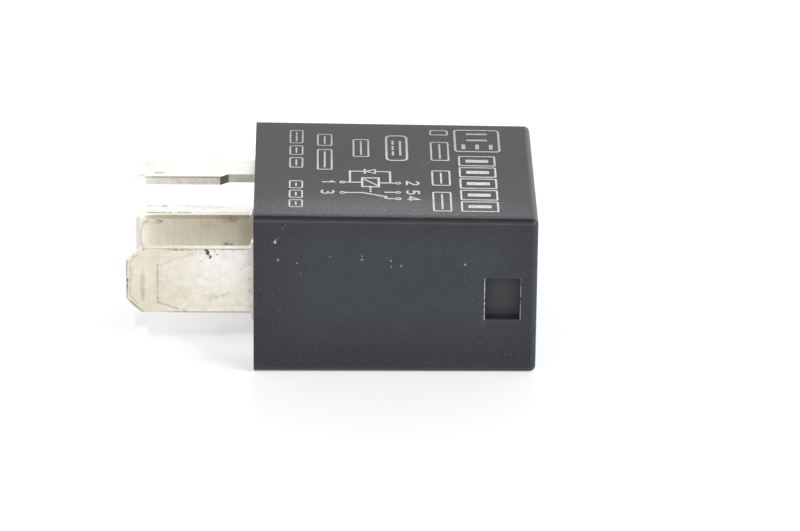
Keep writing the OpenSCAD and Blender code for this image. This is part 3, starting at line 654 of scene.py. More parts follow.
def common_stains(m, col, rough):
    """Marks on the near wide blade: coin lines, tan diagonals, brown and black spots."""
    front = m.step(m.y, -8.12, -8.07, 1.0, 0.0)
    front = m.both(front, m.mul(m.step(m.x, -9.5, -9.8), m.step(m.y, -7.90, -7.82, 1.0, 0.0)))
    wx, wy, wz = m.wobble(0.09, 1.7)
    uv = (wx, wz)
    px = (m.x, m.z)
    # the plate yellows towards the tip
    tip = m.step(m.x, -10.5, -2.6, 1.0, 0.0)
    col = m.mix(m.mul(tip, 0.80), col, (0.85, 0.825, 0.745), "MULTIPLY")
    col = m.mix(m.mul(m.step(m.noise(1.3, 3, 0.62, source=m.stretch(shift=(11, 3, 6))), 0.46, 0.60), 0.42), col, (0.60, 0.62, 0.50))
    col = m.mix(m.mul(m.step(m.noise(2.1, 3, 0.62, source=m.stretch(shift=(3, 1, 16))), 0.48, 0.62), 0.32), col, (0.74, 0.62, 0.52))
    col = m.mix(m.mul(m.step(m.noise(0.7, 3, 0.62, source=m.stretch(shift=(13, 21, 6))), 0.48, 0.62), 0.34), col, (0.72, 0.66, 0.46))
    pale = m.mul(m.blob(uv, (-3.2, 0.9), (3.2, 1.9), 0.7), 0.55)
    col = m.mix(pale, col, (0.88, 0.875, 0.86))
    olive = m.step(m.noise(0.55, 4, 0.62, source=m.stretch((1.0, 1.0, 0.8), (4, 8, 1))), 0.46, 0.64)
    col = m.mix(m.mul(m.mul(olive, m.step(m.x, -7.5, -1.5, 1.0, 0.2)), 0.34), col, (0.70, 0.66, 0.50))
    veins = m.step(m.math("ABSOLUTE", m.math("SUBTRACT", m.noise(0.9, 4, 0.68, source=m.stretch((1.0, 1.0, 1.0), (1, 2, 9))), 0.5)), 0.0, 0.030, 1.0, 0.0)
    col = m.mix(m.mul(m.mul(veins, m.step(m.x, -5.0, -1.0, 1.0, 0.35)), 0.24), col, (0.58, 0.50, 0.38))
    tan, brown = (0.50, 0.40, 0.27), (0.36, 0.25, 0.15)

    def lay(mask, colour, amount):
        nonlocal col
        col = m.mix(m.mul(m.mul(mask, front), amount), col, colour)

    broken = m.step(m.noise(2.2, 3, 0.65), 0.36, 0.62)
    soft = m.step(m.noise(0.9, 3, 0.6), 0.34, 0.60)
    lay(m.mul(m.line(uv, (-10.93, 1.75), (-10.97, -1.4), 0.17), m.add(m.mul(broken, 0.5), 0.5)), tan, 0.60)
    lay(m.line(uv, (-10.93, 1.75), (-10.3, 2.45), 0.16), tan, 0.48)
    lay(m.mul(m.line(uv, (-10.72, 1.45), (-10.76, -1.5), 0.10), broken), (0.50, 0.42, 0.30), 0.45)
    lay(m.mul(m.line(uv, (-8.16, 1.35), (-8.18, -1.9), 0.12), broken), (0.56, 0.48, 0.34), 0.50)
    lay(m.line(uv, (-10.97, -1.4), (-10.3, -2.2), 0.16), tan, 0.45)
    lay(m.mul(m.line(uv, (-8.5, 1.55), (-8.52, -2.05), 0.24), m.add(m.mul(broken, 0.55), 0.45)), tan, 0.80)
    lay(m.mul(m.line(uv, (-8.8, 1.0), (-8.85, -1.6), 0.12), broken), tan, 0.35)
    lay(m.mul(m.line(uv, (-8.47, 1.48), (-6.2, 2.35), 0.18), soft), tan, 0.50)
    lay(m.mul(m.line(uv, (-6.2, 2.35), (-4.4, 2.95), 0.20), soft), tan, 0.32)
    lay(m.line(uv, (-8.5, -2.12), (-6.7, -2.72), 0.17), (0.47, 0.34, 0.22), 0.60)
    lay(m.mul(m.line(uv, (-6.7, -2.72), (-5.9, -2.9), 0.20), broken), (0.47, 0.32, 0.22), 0.5)
    lay(m.mul(m.blob(uv, (-9.83, -0.35), (0.26, 1.35), 0.5), m.add(m.mul(broken, 0.6), 0.4)), tan, 0.62)
    lay(m.mul(m.blob(uv, (-9.85, -1.25), (0.16, 0.62), 0.5), broken), (0.48, 0.38, 0.26), 0.50)
    lay(m.mul(m.blob(uv, (-5.6, -0.1), (1.5, 1.4), 0.8), soft), (0.60, 0.55, 0.38), 0.36)
    lay(m.mul(m.blob(uv, (-3.6, -1.5), (0.95, 0.24), 0.6), broken), tan, 0.46)
    lay(m.mul(m.line(uv, (-4.3, -1.9), (-2.2, -1.15), 0.18), soft), tan, 0.36)
    lay(m.blob(uv, (-1.55, -2.28), (0.55, 0.2), 0.7), (0.60, 0.56, 0.36), 0.42)
    lay(m.line(uv, (-11.1, 1.23), (-10.5, 1.25), 0.10), (0.58, 0.46, 0.34), 0.42)
    lay(m.mul(m.blob(uv, (-8.9, 2.2), (1.1, 0.35), 0.7), broken), (0.55, 0.48, 0.36), 0.34)
    lay(m.mul(m.blob(uv, (-7.2, -1.9), (1.6, 0.7), 0.8), broken), (0.60, 0.50, 0.36), 0.26)
    # dark marks where the plate is rubbed through
    black = (0.035, 0.030, 0.026)
    wx2, wy2, wz2 = m.wobble(0.12, 5.0)
    uv2 = (wx2, wz2)
    for centre, radii, amount in (((-4.05, 2.72), (0.17, 0.24), 0.95), ((-3.86, 2.33), (0.13, 0.2), 0.9), ((-4.22, 2.95), (0.16, 0.09), 0.9),
                                  ((-3.45, 2.86), (0.12, 0.06), 0.55), ((-3.25, 2.60), (0.10, 0.07), 0.5), ((-4.62, 1.9), (0.07, 0.06), 0.5),
                                  ((-4.42, 1.74), (0.06, 0.05), 0.5), ((-11.2, 0.0), (0.09, 0.13), 0.95), ((-11.22, -0.58), (0.08, 0.22), 0.8),
                                  ((-11.2, -0.95), (0.06, 0.12), 0.6), ((-0.36, 1.6), (0.06, 0.09), 0.6), ((-0.36, 0.2), (0.05, 0.1), 0.5),
                                  ((-0.38, -0.9), (0.06, 0.12), 0.55), ((-1.1, 1.2), (0.06, 0.05), 0.45), ((-4.2, 0.15), (0.05, 0.05), 0.45)):
        lay(m.blob(uv2, centre, radii, 0.4), black, amount)
    # broken dark line under the upper cut edge and along the lower one
    dash = m.step(m.noise(2.6, 2, 0.6, source=m.stretch((1.0, 0.2, 0.2))), 0.50, 0.60)
    zone = m.step(m.x, -6.6, -5.6, 1.0, 0.35)
    lay(m.mul(m.mul(m.line((m.x, wz2), (-10.2, 2.98), (-1.0, 2.98), 0.13), dash), zone), black, 0.85)
    lay(m.mul(m.step(wz2, 2.55, 3.0), m.specks(3.2, 0.085, 0.46)), black, 0.8)
    lay(m.mul(m.mul(m.step(m.z, 1.9, 2.7), m.step(m.x, -5.2, -3.6)), m.specks(2.4, 0.07, 0.32)), (0.20, 0.18, 0.16), 0.6)
    rim = m.both(m.step(m.z, -2.55, -2.95), m.step(m.x, -0.95, -0.45))
    lay(m.mul(rim, m.specks(2.9, 0.075, 0.34)), black, 0.62)
    lay(m.mul(m.mul(m.step(m.z, 1.5, 2.4), m.step(m.x, -8.0, -9.6)), m.specks(3.2, 0.07, 0.35)), black, 0.7)
    lay(m.mul(m.step(m.x, -10.9, -11.1), m.specks(3.6, 0.08, 0.45)), black, 0.7)
    # dark outline round the coined tip
    ring = m.line(px, (-11.28, -1.72), (-11.28, 1.72), 0.16)
    ring = m.both(ring, m.mul(m.line(px, (-11.28, -1.72), (-9.8, -3.08), 0.15), 0.8))
    ring = m.both(ring, m.mul(m.line(px, (-11.28, 1.72), (-9.8, 3.08), 0.12), m.mul(dash, 0.8)))
    lipped = m.step(m.noise(1.9, 3, 0.65), 0.30, 0.52, 0.35, 1.0)
    col = m.mix(m.mul(m.mul(ring, lipped), 0.78), col, (0.16, 0.155, 0.14))
    lay(m.line(px, (-9.6, -3.0), (-0.4, -3.0), 0.09), (0.22, 0.19, 0.15), 0.75)
    lay(m.line(px, (-11.25, 1.3), (-11.25, -1.3), 0.10), (0.30, 0.25, 0.2), 0.55)
    return col, rough


def no_stains(m, col, rough):
    """The middle wide blade, in painted shade: duller and more olive, most of all near the body and its upper edge."""
    wx, wy, wz = m.wobble(0.10, 1.6)
    uv = (wx, wz)
    front = m.step(m.y, -0.56, -0.50, 1.0, 0.0)
    inward_shade = m.step(m.x, -9.5, -0.2)
    upward_shade = m.step(m.z, -2.2, 2.9)
    # painted shade: darker and warmer towards the body and towards the upper edge
    col = m.mix(m.mul(m.mul(inward_shade, front), 0.22), col, (0.93, 0.87, 0.73), "MULTIPLY")
    col = m.mix(m.mul(m.mul(upward_shade, front), 0.36), col, (0.86, 0.83, 0.72), "MULTIPLY")

    def lay(mask, colour, amount, where=front):
        nonlocal col
        col = m.mix(m.mul(m.mul(mask, where), amount), col, colour)

    broken = m.step(m.noise(2.4, 3, 0.65), 0.36, 0.60)
    streak = m.step(m.noise(1.0, 3, 0.65, source=m.stretch((2.4, 1.0, 0.45))), 0.48, 0.70)
    lay(streak, (0.66, 0.62, 0.48), 0.26)
    lay(m.mul(m.blob(uv, (-8.7, 2.48), (0.48, 0.20), 0.6), broken), (0.18, 0.16, 0.12), 0.75)
    lay(m.mul(m.blob(uv, (-9.65, 2.40), (0.50, 0.20), 0.6), broken), (0.26, 0.23, 0.17), 0.6)
    lay(m.mul(m.blob(uv, (-2.4, 0.25), (0.42, 0.24), 0.5), broken), (0.30, 0.25, 0.18), 0.75)
    lay(m.line(uv, (-10.2, 1.6), (-10.05, 2.25), 0.13), (0.44, 0.40, 0.36), 0.5)
    lay(m.line(uv, (-10.2, 1.6), (-10.22, -2.6), 0.15), (0.40, 0.37, 0.34), 0.65)
    lay(m.line(uv, (-10.05, 2.25), (-9.6, 2.72), 0.12), (0.50, 0.44, 0.36), 0.4)
    lay(m.line(uv, (-9.6, 2.92), (-0.6, 2.92), 0.30), (0.46, 0.37, 0.24), 0.52)
    lay(m.mul(m.blob(uv, (-2.3, 2.75), (0.8, 0.34), 0.7), broken), (0.36, 0.25, 0.14), 0.6)
    lay(m.blob(uv, (-0.7, 1.6), (0.7, 1.7), 0.7), (0.54, 0.46, 0.29), 0.36)
    # coined tip, pale lilac, and the worn back of the upper cut edge
    tipband = m.step(m.x, -10.32, -10.22, 1.0, 0.0)
    col = m.mix(m.mul(tipband, 0.8), col, (0.585, 0.560, 0.575))
    dash = m.step(m.noise(1.0, 2, 0.6, source=m.stretch((1.3, 0.3, 0.3))), 0.44, 0.54)
    back = m.mul(m.step(m.y, -0.16, -0.08), m.step(m.z, 3.0, 3.05))
    along = m.both(m.mul(m.step(m.x, -8.4, -8.0, 1.0, 0.0), m.step(m.x, -9.9, -9.6)), m.mul(dash, m.step(m.x, -5.9, -5.6, 1.0, 0.0)))
    col = m.mix(m.mul(m.mul(back, along), 0.7), col, (0.20, 0.19, 0.18))
    return col, rough


def row_stains(m, col, rough):
    """Smudges on the upper faces and cut edges of the narrow blades."""
    wx, wy, wz = m.wobble(0.12, 1.5)
    broken = m.step(m.noise(2.2, 3, 0.65), 0.36, 0.60)
    level0 = m.mul(m.step(m.z, 0.36, 0.39), m.step(m.z, 1.0, 1.1, 1.0, 0.0))
    level1 = m.step(m.z, 5.01, 5.03)
    uv = (wx, wy)
    for level, centre, radii, colour, amount in (
            (level0, (-9.35, 7.85), (0.70, 0.28), (0.30, 0.29, 0.28), 0.65), (level0, (-8.3, 7.75), (0.30, 0.30), (0.20, 0.19, 0.19), 0.8),
            (level0, (-4.4, 7.5), (1.9, 0.45), (0.60, 0.58, 0.50), 0.60), (level0, (-6.2, 7.9), (1.2, 0.3), (0.48, 0.47, 0.44), 0.45),
            (level1, (-11.0, 4.5), (0.22, 0.5), (0.28, 0.27, 0.27), 0.75), (level1, (-10.5, 3.9), (0.5, 0.3), (0.40, 0.39, 0.38), 0.5),
            (level1, (-9.6, 6.4), (0.8, 1.4), (0.66, 0.64, 0.60), 0.60), (level1, (-8.75, 4.55), (0.42, 0.22), (0.18, 0.17, 0.16), 0.8)):
        col = m.mix(m.mul(m.mul(m.mul(m.blob(uv, centre, radii, 0.6), broken), level), amount), col, colour)
    # the cut edge is darker along its upper half
    cut_edge = m.step(m.y, 3.68, 3.74, 1.0, 0.0)
    col = m.mix(m.mul(cut_edge, 0.85), col, (0.965, 0.935, 0.86))
    line = m.step(m.z, 4.86, 4.98)
    col = m.mix(m.mul(m.mul(cut_edge, line), 0.55), col, (0.42, 0.39, 0.35))
    col = m.mix(m.mul(m.mul(cut_edge, m.step(m.noise(3.2, 3, 0.7), 0.5, 0.72)), 0.4), col, (0.48, 0.43, 0.36))
    # painted light: the cut edge made paler near the body
    neck_light = m.step(m.x, -3.35, -2.4)
    col = m.mix(m.mul(m.mul(neck_light, cut_edge), 0.8), col, (0.99, 0.965, 0.91))
    return col, rough


def plated(name, base, other, rough=0.35, lines=0.5, metallic=1.0, along=(0.4, 7.0, 7.0)):
    """Rolled or turned metal with draw lines and a cloudy plate."""
    m = Tree(name, metallic=metallic)
    cloud = m.noise(0.7, 4, 0.6)
    draw = m.noise(1.0, 3, 0.7, source=m.stretch(along))
    col = m.mix(m.step(cloud, 0.35, 0.68), base, other)
    col = m.mix(m.mul(m.step(draw, 0.55, 0.78), lines), col, other, "MULTIPLY")
    m.bump(draw, 0.008, 0.5)
    m.bump(m.noise(4.5, 3), 0.01, 0.35)
    return m.done(col, m.math("MULTIPLY_ADD", draw, 0.28, rough - 0.12))


def nylon(name, base, other, rough=0.42):
    m = Tree(name)
    col = m.mix(m.step(m.noise(0.6, 3), 0.35, 0.65), base, other)
    grain = m.noise(6.0, 3, 0.6)
    m.bump(grain, 0.015, 0.5)
    return m.done(col, m.math("MULTIPLY_ADD", grain, 0.2, rough - 0.1))


def copper_wire():
    m = Tree("enamelled_wire", metallic=0.85)
    strand = m.noise(1.0, 2, 0.5, source=m.stretch((8.0, 0.6, 0.6)))
    col = m.mix(m.step(strand, 0.35, 0.7), (0.62, 0.24, 0.08), (0.40, 0.13, 0.045))
    return m.done(col, m.math("MULTIPLY_ADD", strand, 0.25, 0.2))


COVER = cover_plastic()
BASE = base_plastic()
INK = print_ink()
TIN_DIRT = (0.55, 0.50, 0.40)
TIN_A = tin("tin_common", (0.86, 0.845, 0.80), (0.82, 0.785, 0.70), TIN_DIRT, common_stains)
TIN_B = tin("tin_no", (0.95, 0.925, 0.85), (0.91, 0.875, 0.785), (0.58, 0.52, 0.40), no_stains)
TIN_ROW = tin("tin_row", (0.88, 0.87, 0.845), (0.84, 0.82, 0.775), TIN_DIRT, row_stains)

# ================================================================ CAD nodes
dress("base", BASE, 0.04)
dress("common_terminal", TIN_A, 0.03)
dress("no_terminal", TIN_B, 0.03)
for n in ("nc_terminal", "coil_terminal_1", "coil_terminal_2"):
    dress(n, TIN_ROW, 0.03)
SILVER = plated("contact_silver", (0.80, 0.79, 0.76), (0.62, 0.60, 0.55), 0.32, 0.2)
IRON = plated("plated_iron", (0.58, 0.59, 0.61), (0.44, 0.45, 0.47), 0.34, 0.35)
CORE = plated("core_iron", (0.62, 0.62, 0.63), (0.48, 0.48, 0.49), 0.28, 0.3, along=(6.0, 0.5, 0.5))
RIVET = plated("rivet_steel", (0.68, 0.68, 0.66), (0.50, 0.50, 0.49), 0.3, 0.25)
LEAD = plated("lead_tin", (0.76, 0.76, 0.74), (0.58, 0.58, 0.56), 0.3, 0.25)
SPRING = plated("spring_bronze", (0.74, 0.50, 0.29), (0.60, 0.37, 0.20), 0.3, 0.3)
for n in ("no_contact", "nc_contact", "moving_contact"):
    dress(n, SILVER, 0.04)
for n in ("yoke", "armature"):
    dress(n, IRON, 0.06)
dress("core", CORE, 0.05)
dress("bobbin", nylon("bobbin_nylon", (0.62, 0.58, 0.48), (0.68, 0.65, 0.56)), 0.05)
WIRE = copper_wire()
dress("winding", WIRE)
dress("diode", nylon("diode_resin", (0.022, 0.022, 0.024), (0.034, 0.033, 0.034), 0.3), 0.06)
dress("diode_leads", LEAD)
dress("contact_spring", SPRING)
for n in ("yoke_rivets", "armature_rivets"):
    dress(n, RIVET, 0.04)


# ================================================================ cover
def make_cover():
    """The moulded cover: tapered shell with rounded edges, side pockets with broken edges."""
    seg = 8

    def slab(x, inset):
        k = x / BODY_L
        w = BODY_W - 2 * DRAFT * k - 2 * inset
        h = BODY_H - 2 * DRAFT * k - 2 * inset
        r = max(EDGE_RIM + (EDGE_CAP - EDGE_RIM) * k - inset, 0.12)
        return [(x, y, z) for y, z in rrect(w, h, r, seg, 0, -DRAFT * k)]

    outer = bmesh.new()
    rim = 0.07
    loops = [slab(rim * (1 - math.sin(math.radians(a))), rim * (1 - math.cos(math.radians(a)))) for a in (90, 60, 30, 0)]
    loops += [slab(x, 0) for x in (1.0, 4, 7, 10, 13, 16, 19, 22, 24)]
    for k in range(9):
        a = math.radians(90 * k / 8)
        loops.append(slab(BODY_L - CAP_R + CAP_R * math.sin(a), CAP_R * (1 - math.cos(a))))
    loft(outer, loops)

    cavity = bmesh.new()
    sizes = [(-0.5, 0.28), (0.0, 0.28), (0.28, 0), (FLOOR_X - 0.25, 0), (FLOOR_X - 0.07, -0.07), (FLOOR_X, -0.25)]
    loft(cavity, [[(x, y, z) for y, z in rrect(2 * (IN_Y + g), 2 * (IN_Z + g), 0.3, 4)] for x, g in sizes])
    x0, x1, z0, z1 = POCKET
    for s in (-1, 1):
        cavity = cut(cavity, box_bm((x0 - 0.5, s * IN_Y - 0.3, z0 - 0.5), (FLOOR_X + 1, s * IN_Y + 0.3, z1 + 0.5)))
    shell = cut(outer, cavity)
    for s in (-1, 1):
        far, near = s * (BODY_W / 2 + 1), s * (BODY_W / 2 - DRAFT - POCKET_DEPTH)
        shell = cut(shell, box_bm((x0, min(far, near), z0), (x1, max(far, near), z1)))
        a, b = s * (IN_Y + 0.45), s * (IN_Y - 0.1)
        shell = cut(shell, box_bm((1.1, min(a, b), -2.1), (2.3, max(a, b), 2.1)))
    # gate mark in a shallow dish on the closed end
    def disc(r0, r1, xa, xb):
        bm = bmesh.new()
        loft(bm, [[(x, r * math.cos(math.pi * k / 18), r * math.sin(math.pi * k / 18)) for k in range(36)] for x, r in ((xa, r0), (xb, r1))])
        return bm

    shell = cut(shell, disc(1.15, 1.30, BODY_L - 0.14, BODY_L + 0.01))
    shell = cut(shell, disc(0.52, 0.42, BODY_L - 0.16, BODY_L - 0.05), "UNION")
    bmesh.ops.remove_doubles(shell, verts=shell.verts[:], dist=1e-4)

    def on_mouth(v):
        return (abs(abs(v.co.y) + front_y(v.co.x)) < 0.012 and x0 - 0.01 < v.co.x < x1 + 0.01 and z0 - 0.01 < v.co.z < z1 + 0.01)

    mouth = [e for e in shell.edges if len(e.link_faces) == 2 and all(on_mouth(v) for v in e.verts) and e.calc_face_angle(0) > 1.0]
    bmesh.ops.bevel(shell, geom=mouth, offset=0.07, segments=3, profile=0.5, affect="EDGES")
    o = new_object("cover_shell", shell, COVER, "housing")
    shade(o, 42)
    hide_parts("cover")
    return o


make_cover()

# ================================================================ markings
INK_H = 0.012


class Print:
    """Flat shapes on the cover's upper face, each a thin closed prism."""

    def __init__(self):
        self.bm = bmesh.new()

    def _prism(self, rings):
        """rings: one outline, or an outer and an inner one, as (x, y)."""
        n = len(rings[0])
        low = [[self.bm.verts.new((x, y, top_z(x) - 0.03)) for x, y in r] for r in rings]
        high = [[self.bm.verts.new((x, y, top_z(x) + INK_H)) for x, y in r] for r in rings]
        new = self.bm.faces.new
        for a, b in zip(low, high):
            for k in range(n):
                new((a[k], a[(k + 1) % n], b[(k + 1) % n], b[k]))
        if len(rings) == 1:
            new(low[0][::-1])
            new(high[0])
        else:
            for q in (low, high):
                for k in range(n):
                    new((q[0][k], q[0][(k + 1) % n], q[1][(k + 1) % n], q[1][k]))

    def bar(self, x0, y0, x1, y1, r=0.0):
        pts = [(x0, y0), (x1, y0), (x1, y1), (x0, y1)]
        if r:
            pts = [((x0 + x1) / 2 + a, (y0 + y1) / 2 + b) for a, b in rrect(abs(x1 - x0), abs(y1 - y0), r, 4)]
        self._prism([pts])

    def frame(self, x0, y0, x1, y1, r, t):
        c = ((x0 + x1) / 2, (y0 + y1) / 2)
        w, h = abs(x1 - x0), abs(y1 - y0)
        self._prism([[(c[0] + a, c[1] + b) for a, b in rrect(w - 2 * k, h - 2 * k, max(r - k, 0.02), 5)] for k in (0, t)])

    def ring(self, x, y, r, t, n=20):
        self._prism([[(x + q * math.cos(2 * math.pi * k / n), y + q * math.sin(2 * math.pi * k / n)) for k in range(n)] for q in (r, r - t)])

    def stroke(self, pts, t):
        """A line of even width through the points, with mitred corners."""
        p = [Vector(q) for q in pts]
        left, right = [], []
        for k in range(len(p)):
            a = (p[k] - p[k - 1]).normalized() if k else None
            b = (p[k + 1] - p[k]).normalized() if k < len(p) - 1 else None
            if a is None or b is None:
                d = a or b
                m = Vector((-d.y, d.x)) * t / 2
            else:
                na, nb = Vector((-a.y, a.x)), Vector((-b.y, b.x))
                m = (na + nb).normalized()
                m = m * min(t / 2 / max(m.dot(na), 0.35), t * 1.2)
            left.append(tuple(p[k] + m))
            right.append(tuple(p[k] - m))
        rows = [[self.bm.verts.new((x, y, top_z(x) + h)) for x, y in side] for h in (-0.03, INK_H) for side in (left, right)]
        ll, lr, hl, hr = rows
        new = self.bm.faces.new
        for k in range(len(p) - 1):
            new((hl[k], hr[k], hr[k + 1], hl[k + 1]))
            new((ll[k], ll[k + 1], lr[k + 1], lr[k]))
            new((ll[k], hl[k], hl[k + 1], ll[k + 1]))
            new((lr[k], lr[k + 1], hr[k + 1], hr[k]))
        new((ll[0], lr[0], hr[0], hl[0]))
        new((ll[-1], hl[-1], hr[-1], lr[-1]))

    GLYPHS = {
        "1": [[(0.18, 0.74), (0.5, 1.0), (0.5, 0.0)]],
        "2": [[(0.05, 0.76), (0.14, 0.93), (0.34, 1.0), (0.58, 0.99), (0.78, 0.87), (0.80, 0.68), (0.66, 0.5), (0.04, 0.0), (0.88, 0.0)]],
        "3": [[(0.08, 0.92), (0.3, 1.0), (0.58, 0.99), (0.78, 0.86), (0.76, 0.66), (0.55, 0.53), (0.32, 0.53)],
              [(0.55, 0.53), (0.82, 0.42), (0.86, 0.18), (0.64, 0.01), (0.3, 0.0), (0.04, 0.1)]],
        "4": [[(0.64, 0.0), (0.64, 1.0), (0.02, 0.27), (0.92, 0.27)]],
        "5": [[(0.82, 1.0), (0.2, 1.0), (0.13, 0.56), (0.34, 0.63), (0.6, 0.62), (0.82, 0.47), (0.86, 0.27), (0.72, 0.06), (0.45, 0.0), (0.2, 0.02), (0.03, 0.12)]],
    }

    def digit(self, d, x, y, h, w, t):
        """A digit whose foot is at x and whose middle is at y, upright along +X."""
        for pts in self.GLYPHS[d]:
            self.stroke([(x + gy * h, y + (0.45 - gx) * w) for gx, gy in pts], t)


def make_print():
    p = Print()
    t = 0.19
    # wiring: coil with its diode, and the changeover contact
    p.ring(7.83, -3.05, 0.27, 0.13)
    p.ring(12.77, -3.15, 0.27, 0.13)
    p.stroke([(8.08, -3.05), (9.50, -3.05)], t)
    p.stroke([(11.14, -3.12), (12.52, -3.14)], t)
    p.frame(9.48, -4.12, 11.16, -1.92, 0.05, 0.20)
    p.stroke([(9.75, -2.35), (10.92, -3.68)], 0.17)
    p.stroke([(8.50, -2.96), (8.50, -0.52), (9.78, -0.52)], t)
    p.stroke([(10.86, -0.52), (12.08, -0.55), (12.08, -3.05)], t)
    p.bar(9.74, -1.04, 9.92, 0.0)
    for q in ([(9.92, -0.52), (10.74, -0.06)], [(9.92, -0.52), (10.74, -0.98)], [(10.76, 0.02), (10.76, -1.06)]):
        p.stroke(q, 0.15)
    for k in range(3):
        p.bar(10.22, -4.42 - k * 0.42, 10.40, -4.18 - k * 0.42)
    p.ring(7.82, -5.42, 0.27, 0.13)
    p.stroke([(8.07, -5.42), (9.62, -5.40), (11.60, -6.22)], t)
    p.bar(11.50, -6.62, 11.78, -6.08)
    p.stroke([(11.74, -6.66), (12.50, -6.68)], t)
    p.ring(12.76, -6.68, 0.27, 0.13)
    p.stroke([(11.52, -5.24), (12.48, -5.24)], t)
    p.ring(12.75, -5.24, 0.27, 0.13)
    for d, x, y in (("1", 6.02, -3.02), ("3", 5.98, -5.30), ("2", 13.55, -3.12), ("5", 13.55, -5.18), ("4", 13.55, -6.62)):
        p.digit(d, x, y, 1.04, 0.92, 0.18)
    # direct-current sign in its oval frame
    p.frame(11.72, 2.02, 13.76, 8.02, 0.62, 0.20)
    p.bar(12.96, 3.30, 13.16, 6.75)
    for k in range(3):
        p.bar(12.30, 3.30 + k * 1.26, 12.50, 4.23 + k * 1.26)
    # plan of the blades, as seen from their tips
    p.frame(17.95, 4.35, 22.15, 9.60, 0.45, 0.20)
    p.bar(19.10, 8.40, 21.00, 8.74, 0.06)
    p.bar(19.10, 6.95, 21.00, 7.29, 0.06)
    for x in (18.64, 19.88, 21.12):
        p.bar(x, 5.00, x + 0.34, 6.10, 0.06)
    # five blank fields in a row, each with a solid core
    for k in range(5):
        y1 = 3.35 - k * 2.60
        p.frame(18.25, y1 - 2.30, 21.60, y1, 0.16, 0.17)
        p.bar(18.90, y1 - 1.47, 20.95, y1 - 0.83, 0.10)
    # blank fields in rows
    for x, w, t2, spans in ((16.62, 1.70, 0.16, ((9.40, 8.20), (6.60, 2.20), (-0.10, -3.55), (-5.0, -9.35))),
                            (9.52, 1.50, 0.16, ((7.0, 2.85),)),
                            (6.25, 1.40, 0.15, ((8.10, 5.35), (4.50, -0.25))),
                            (3.70, 1.25, 0.14, ((8.95, 5.85), (5.30, 3.10), (2.50, 0.15), (-2.85, -4.60), (-5.0, -6.75), (-7.15, -8.85)))):
        for a, b in spans:
            p.frame(x - w / 2, b, x + w / 2, a, 0.22, t2)
            if a - b > 1.5:
                p.bar(x - t2 / 2, b + 0.5, x + t2 / 2, a - 0.5)
    o = new_object("cover_print", p.bm, INK, "housing")
    return o


make_print()

# ================================================================ base details
def make_base_marks():
    """Raised collars round the blades, terminal numbers and ejector marks on the base's outer face."""
    bm = bmesh.new()
    face = 0.40

    def prism(outline, rise, inner=None):
        stations = [(face + 0.05, 0.0), (face - rise + 0.04, 0.0), (face - rise, 0.04)]

        def loop(pts, x, inset, sign):
            c = (sum(q[0] for q in pts) / len(pts), sum(q[1] for q in pts) / len(pts))
            out = []
            for y, z in pts:
                dy, dz = y - c[0], z - c[1]
                out.append(bm.verts.new((x, y - sign * math.copysign(min(inset, abs(dy)), dy), z - sign * math.copysign(min(inset, abs(dz)), dz))))
            return out

        outer = [loop(outline, x, i, 1) for x, i in stations]
        n = len(outline)
        for a, b in zip(outer, outer[1:]):
            for k in range(n):
                bm.faces.new((a[k], a[(k + 1) % n], b[(k + 1) % n], b[k]))
        if inner is None:
            bm.faces.new(outer[0][::-1])
            bm.faces.new(outer[-1])
            return
        hole = [loop(inner, x, i, -1) for x, i in stations]
        for a, b in zip(hole, hole[1:]):
            for k in range(n):
                bm.faces.new((a[k], b[k], b[(k + 1) % n], a[(k + 1) % n]))
        for q in (0, -1):
            for k in range(n):
                bm.faces.new((outer[q][k], outer[q][(k + 1) % n], hole[q][(k + 1) % n], hole[q][k]))

    for cy, cz, w, h in ((-7.75, 0, 0.8, 7.6), (-0.2, 0, 0.8, 7.6), (5.95, 0, 4.6, 0.8), (5.95, 4.65, 4.6, 0.8), (5.95, -4.65, 4.6, 0.8)):
        prism(rrect(w + 1.20, h + 1.20, 0.45, 4, cy, cz), 0.22, rrect(w + 0.30, h + 0.30, 0.12, 4, cy, cz))
    for cy, cz in ((-4.0, 4.7), (-4.0, -4.7), (1.9, 5.0), (1.9, -5.0)):
        circle = [[(cy + r * math.cos(math.pi * k / 12), cz + r * math.sin(math.pi * k / 12)) for k in range(24)] for r in (0.85, 0.74)]
        prism(circle[0], 0.05, circle[1])

    def digit(d, y, z, h, w, t):
        for pts in Print.GLYPHS[d]:
            q = [Vector((y + (0.45 - gx) * w, z + gy * h)) for gx, gy in pts]
            for a, b in zip(q, q[1:]):
                d1 = (b - a).normalized() * t / 2
                n1 = Vector((-d1.y, d1.x))
                corners = [a - d1 * 0.6 + n1, b + d1 * 0.6 + n1, b + d1 * 0.6 - n1, a - d1 * 0.6 - n1]
                low = [bm.verts.new((face + 0.05, c.x, c.y)) for c in corners]
                high = [bm.verts.new((face - 0.12, c.x, c.y)) for c in corners]
                for k in range(4):
                    bm.faces.new((low[k], low[(k + 1) % 4], high[(k + 1) % 4], high[k]))
                bm.faces.new(low[::-1])
                bm.faces.new(high)

    for d, y, z in (("3", -9.45, -0.6), ("5", -2.35, -0.6), ("1", 9.45, 4.05), ("4", 9.45, -0.6), ("2", 9.45, -5.25)):
        digit(d, y, z, 1.2, 0.85, 0.17)
    o = new_object("base_marks", bm, BASE, "housing")
    shade(o, 30, weighted=False)


make_base_marks()


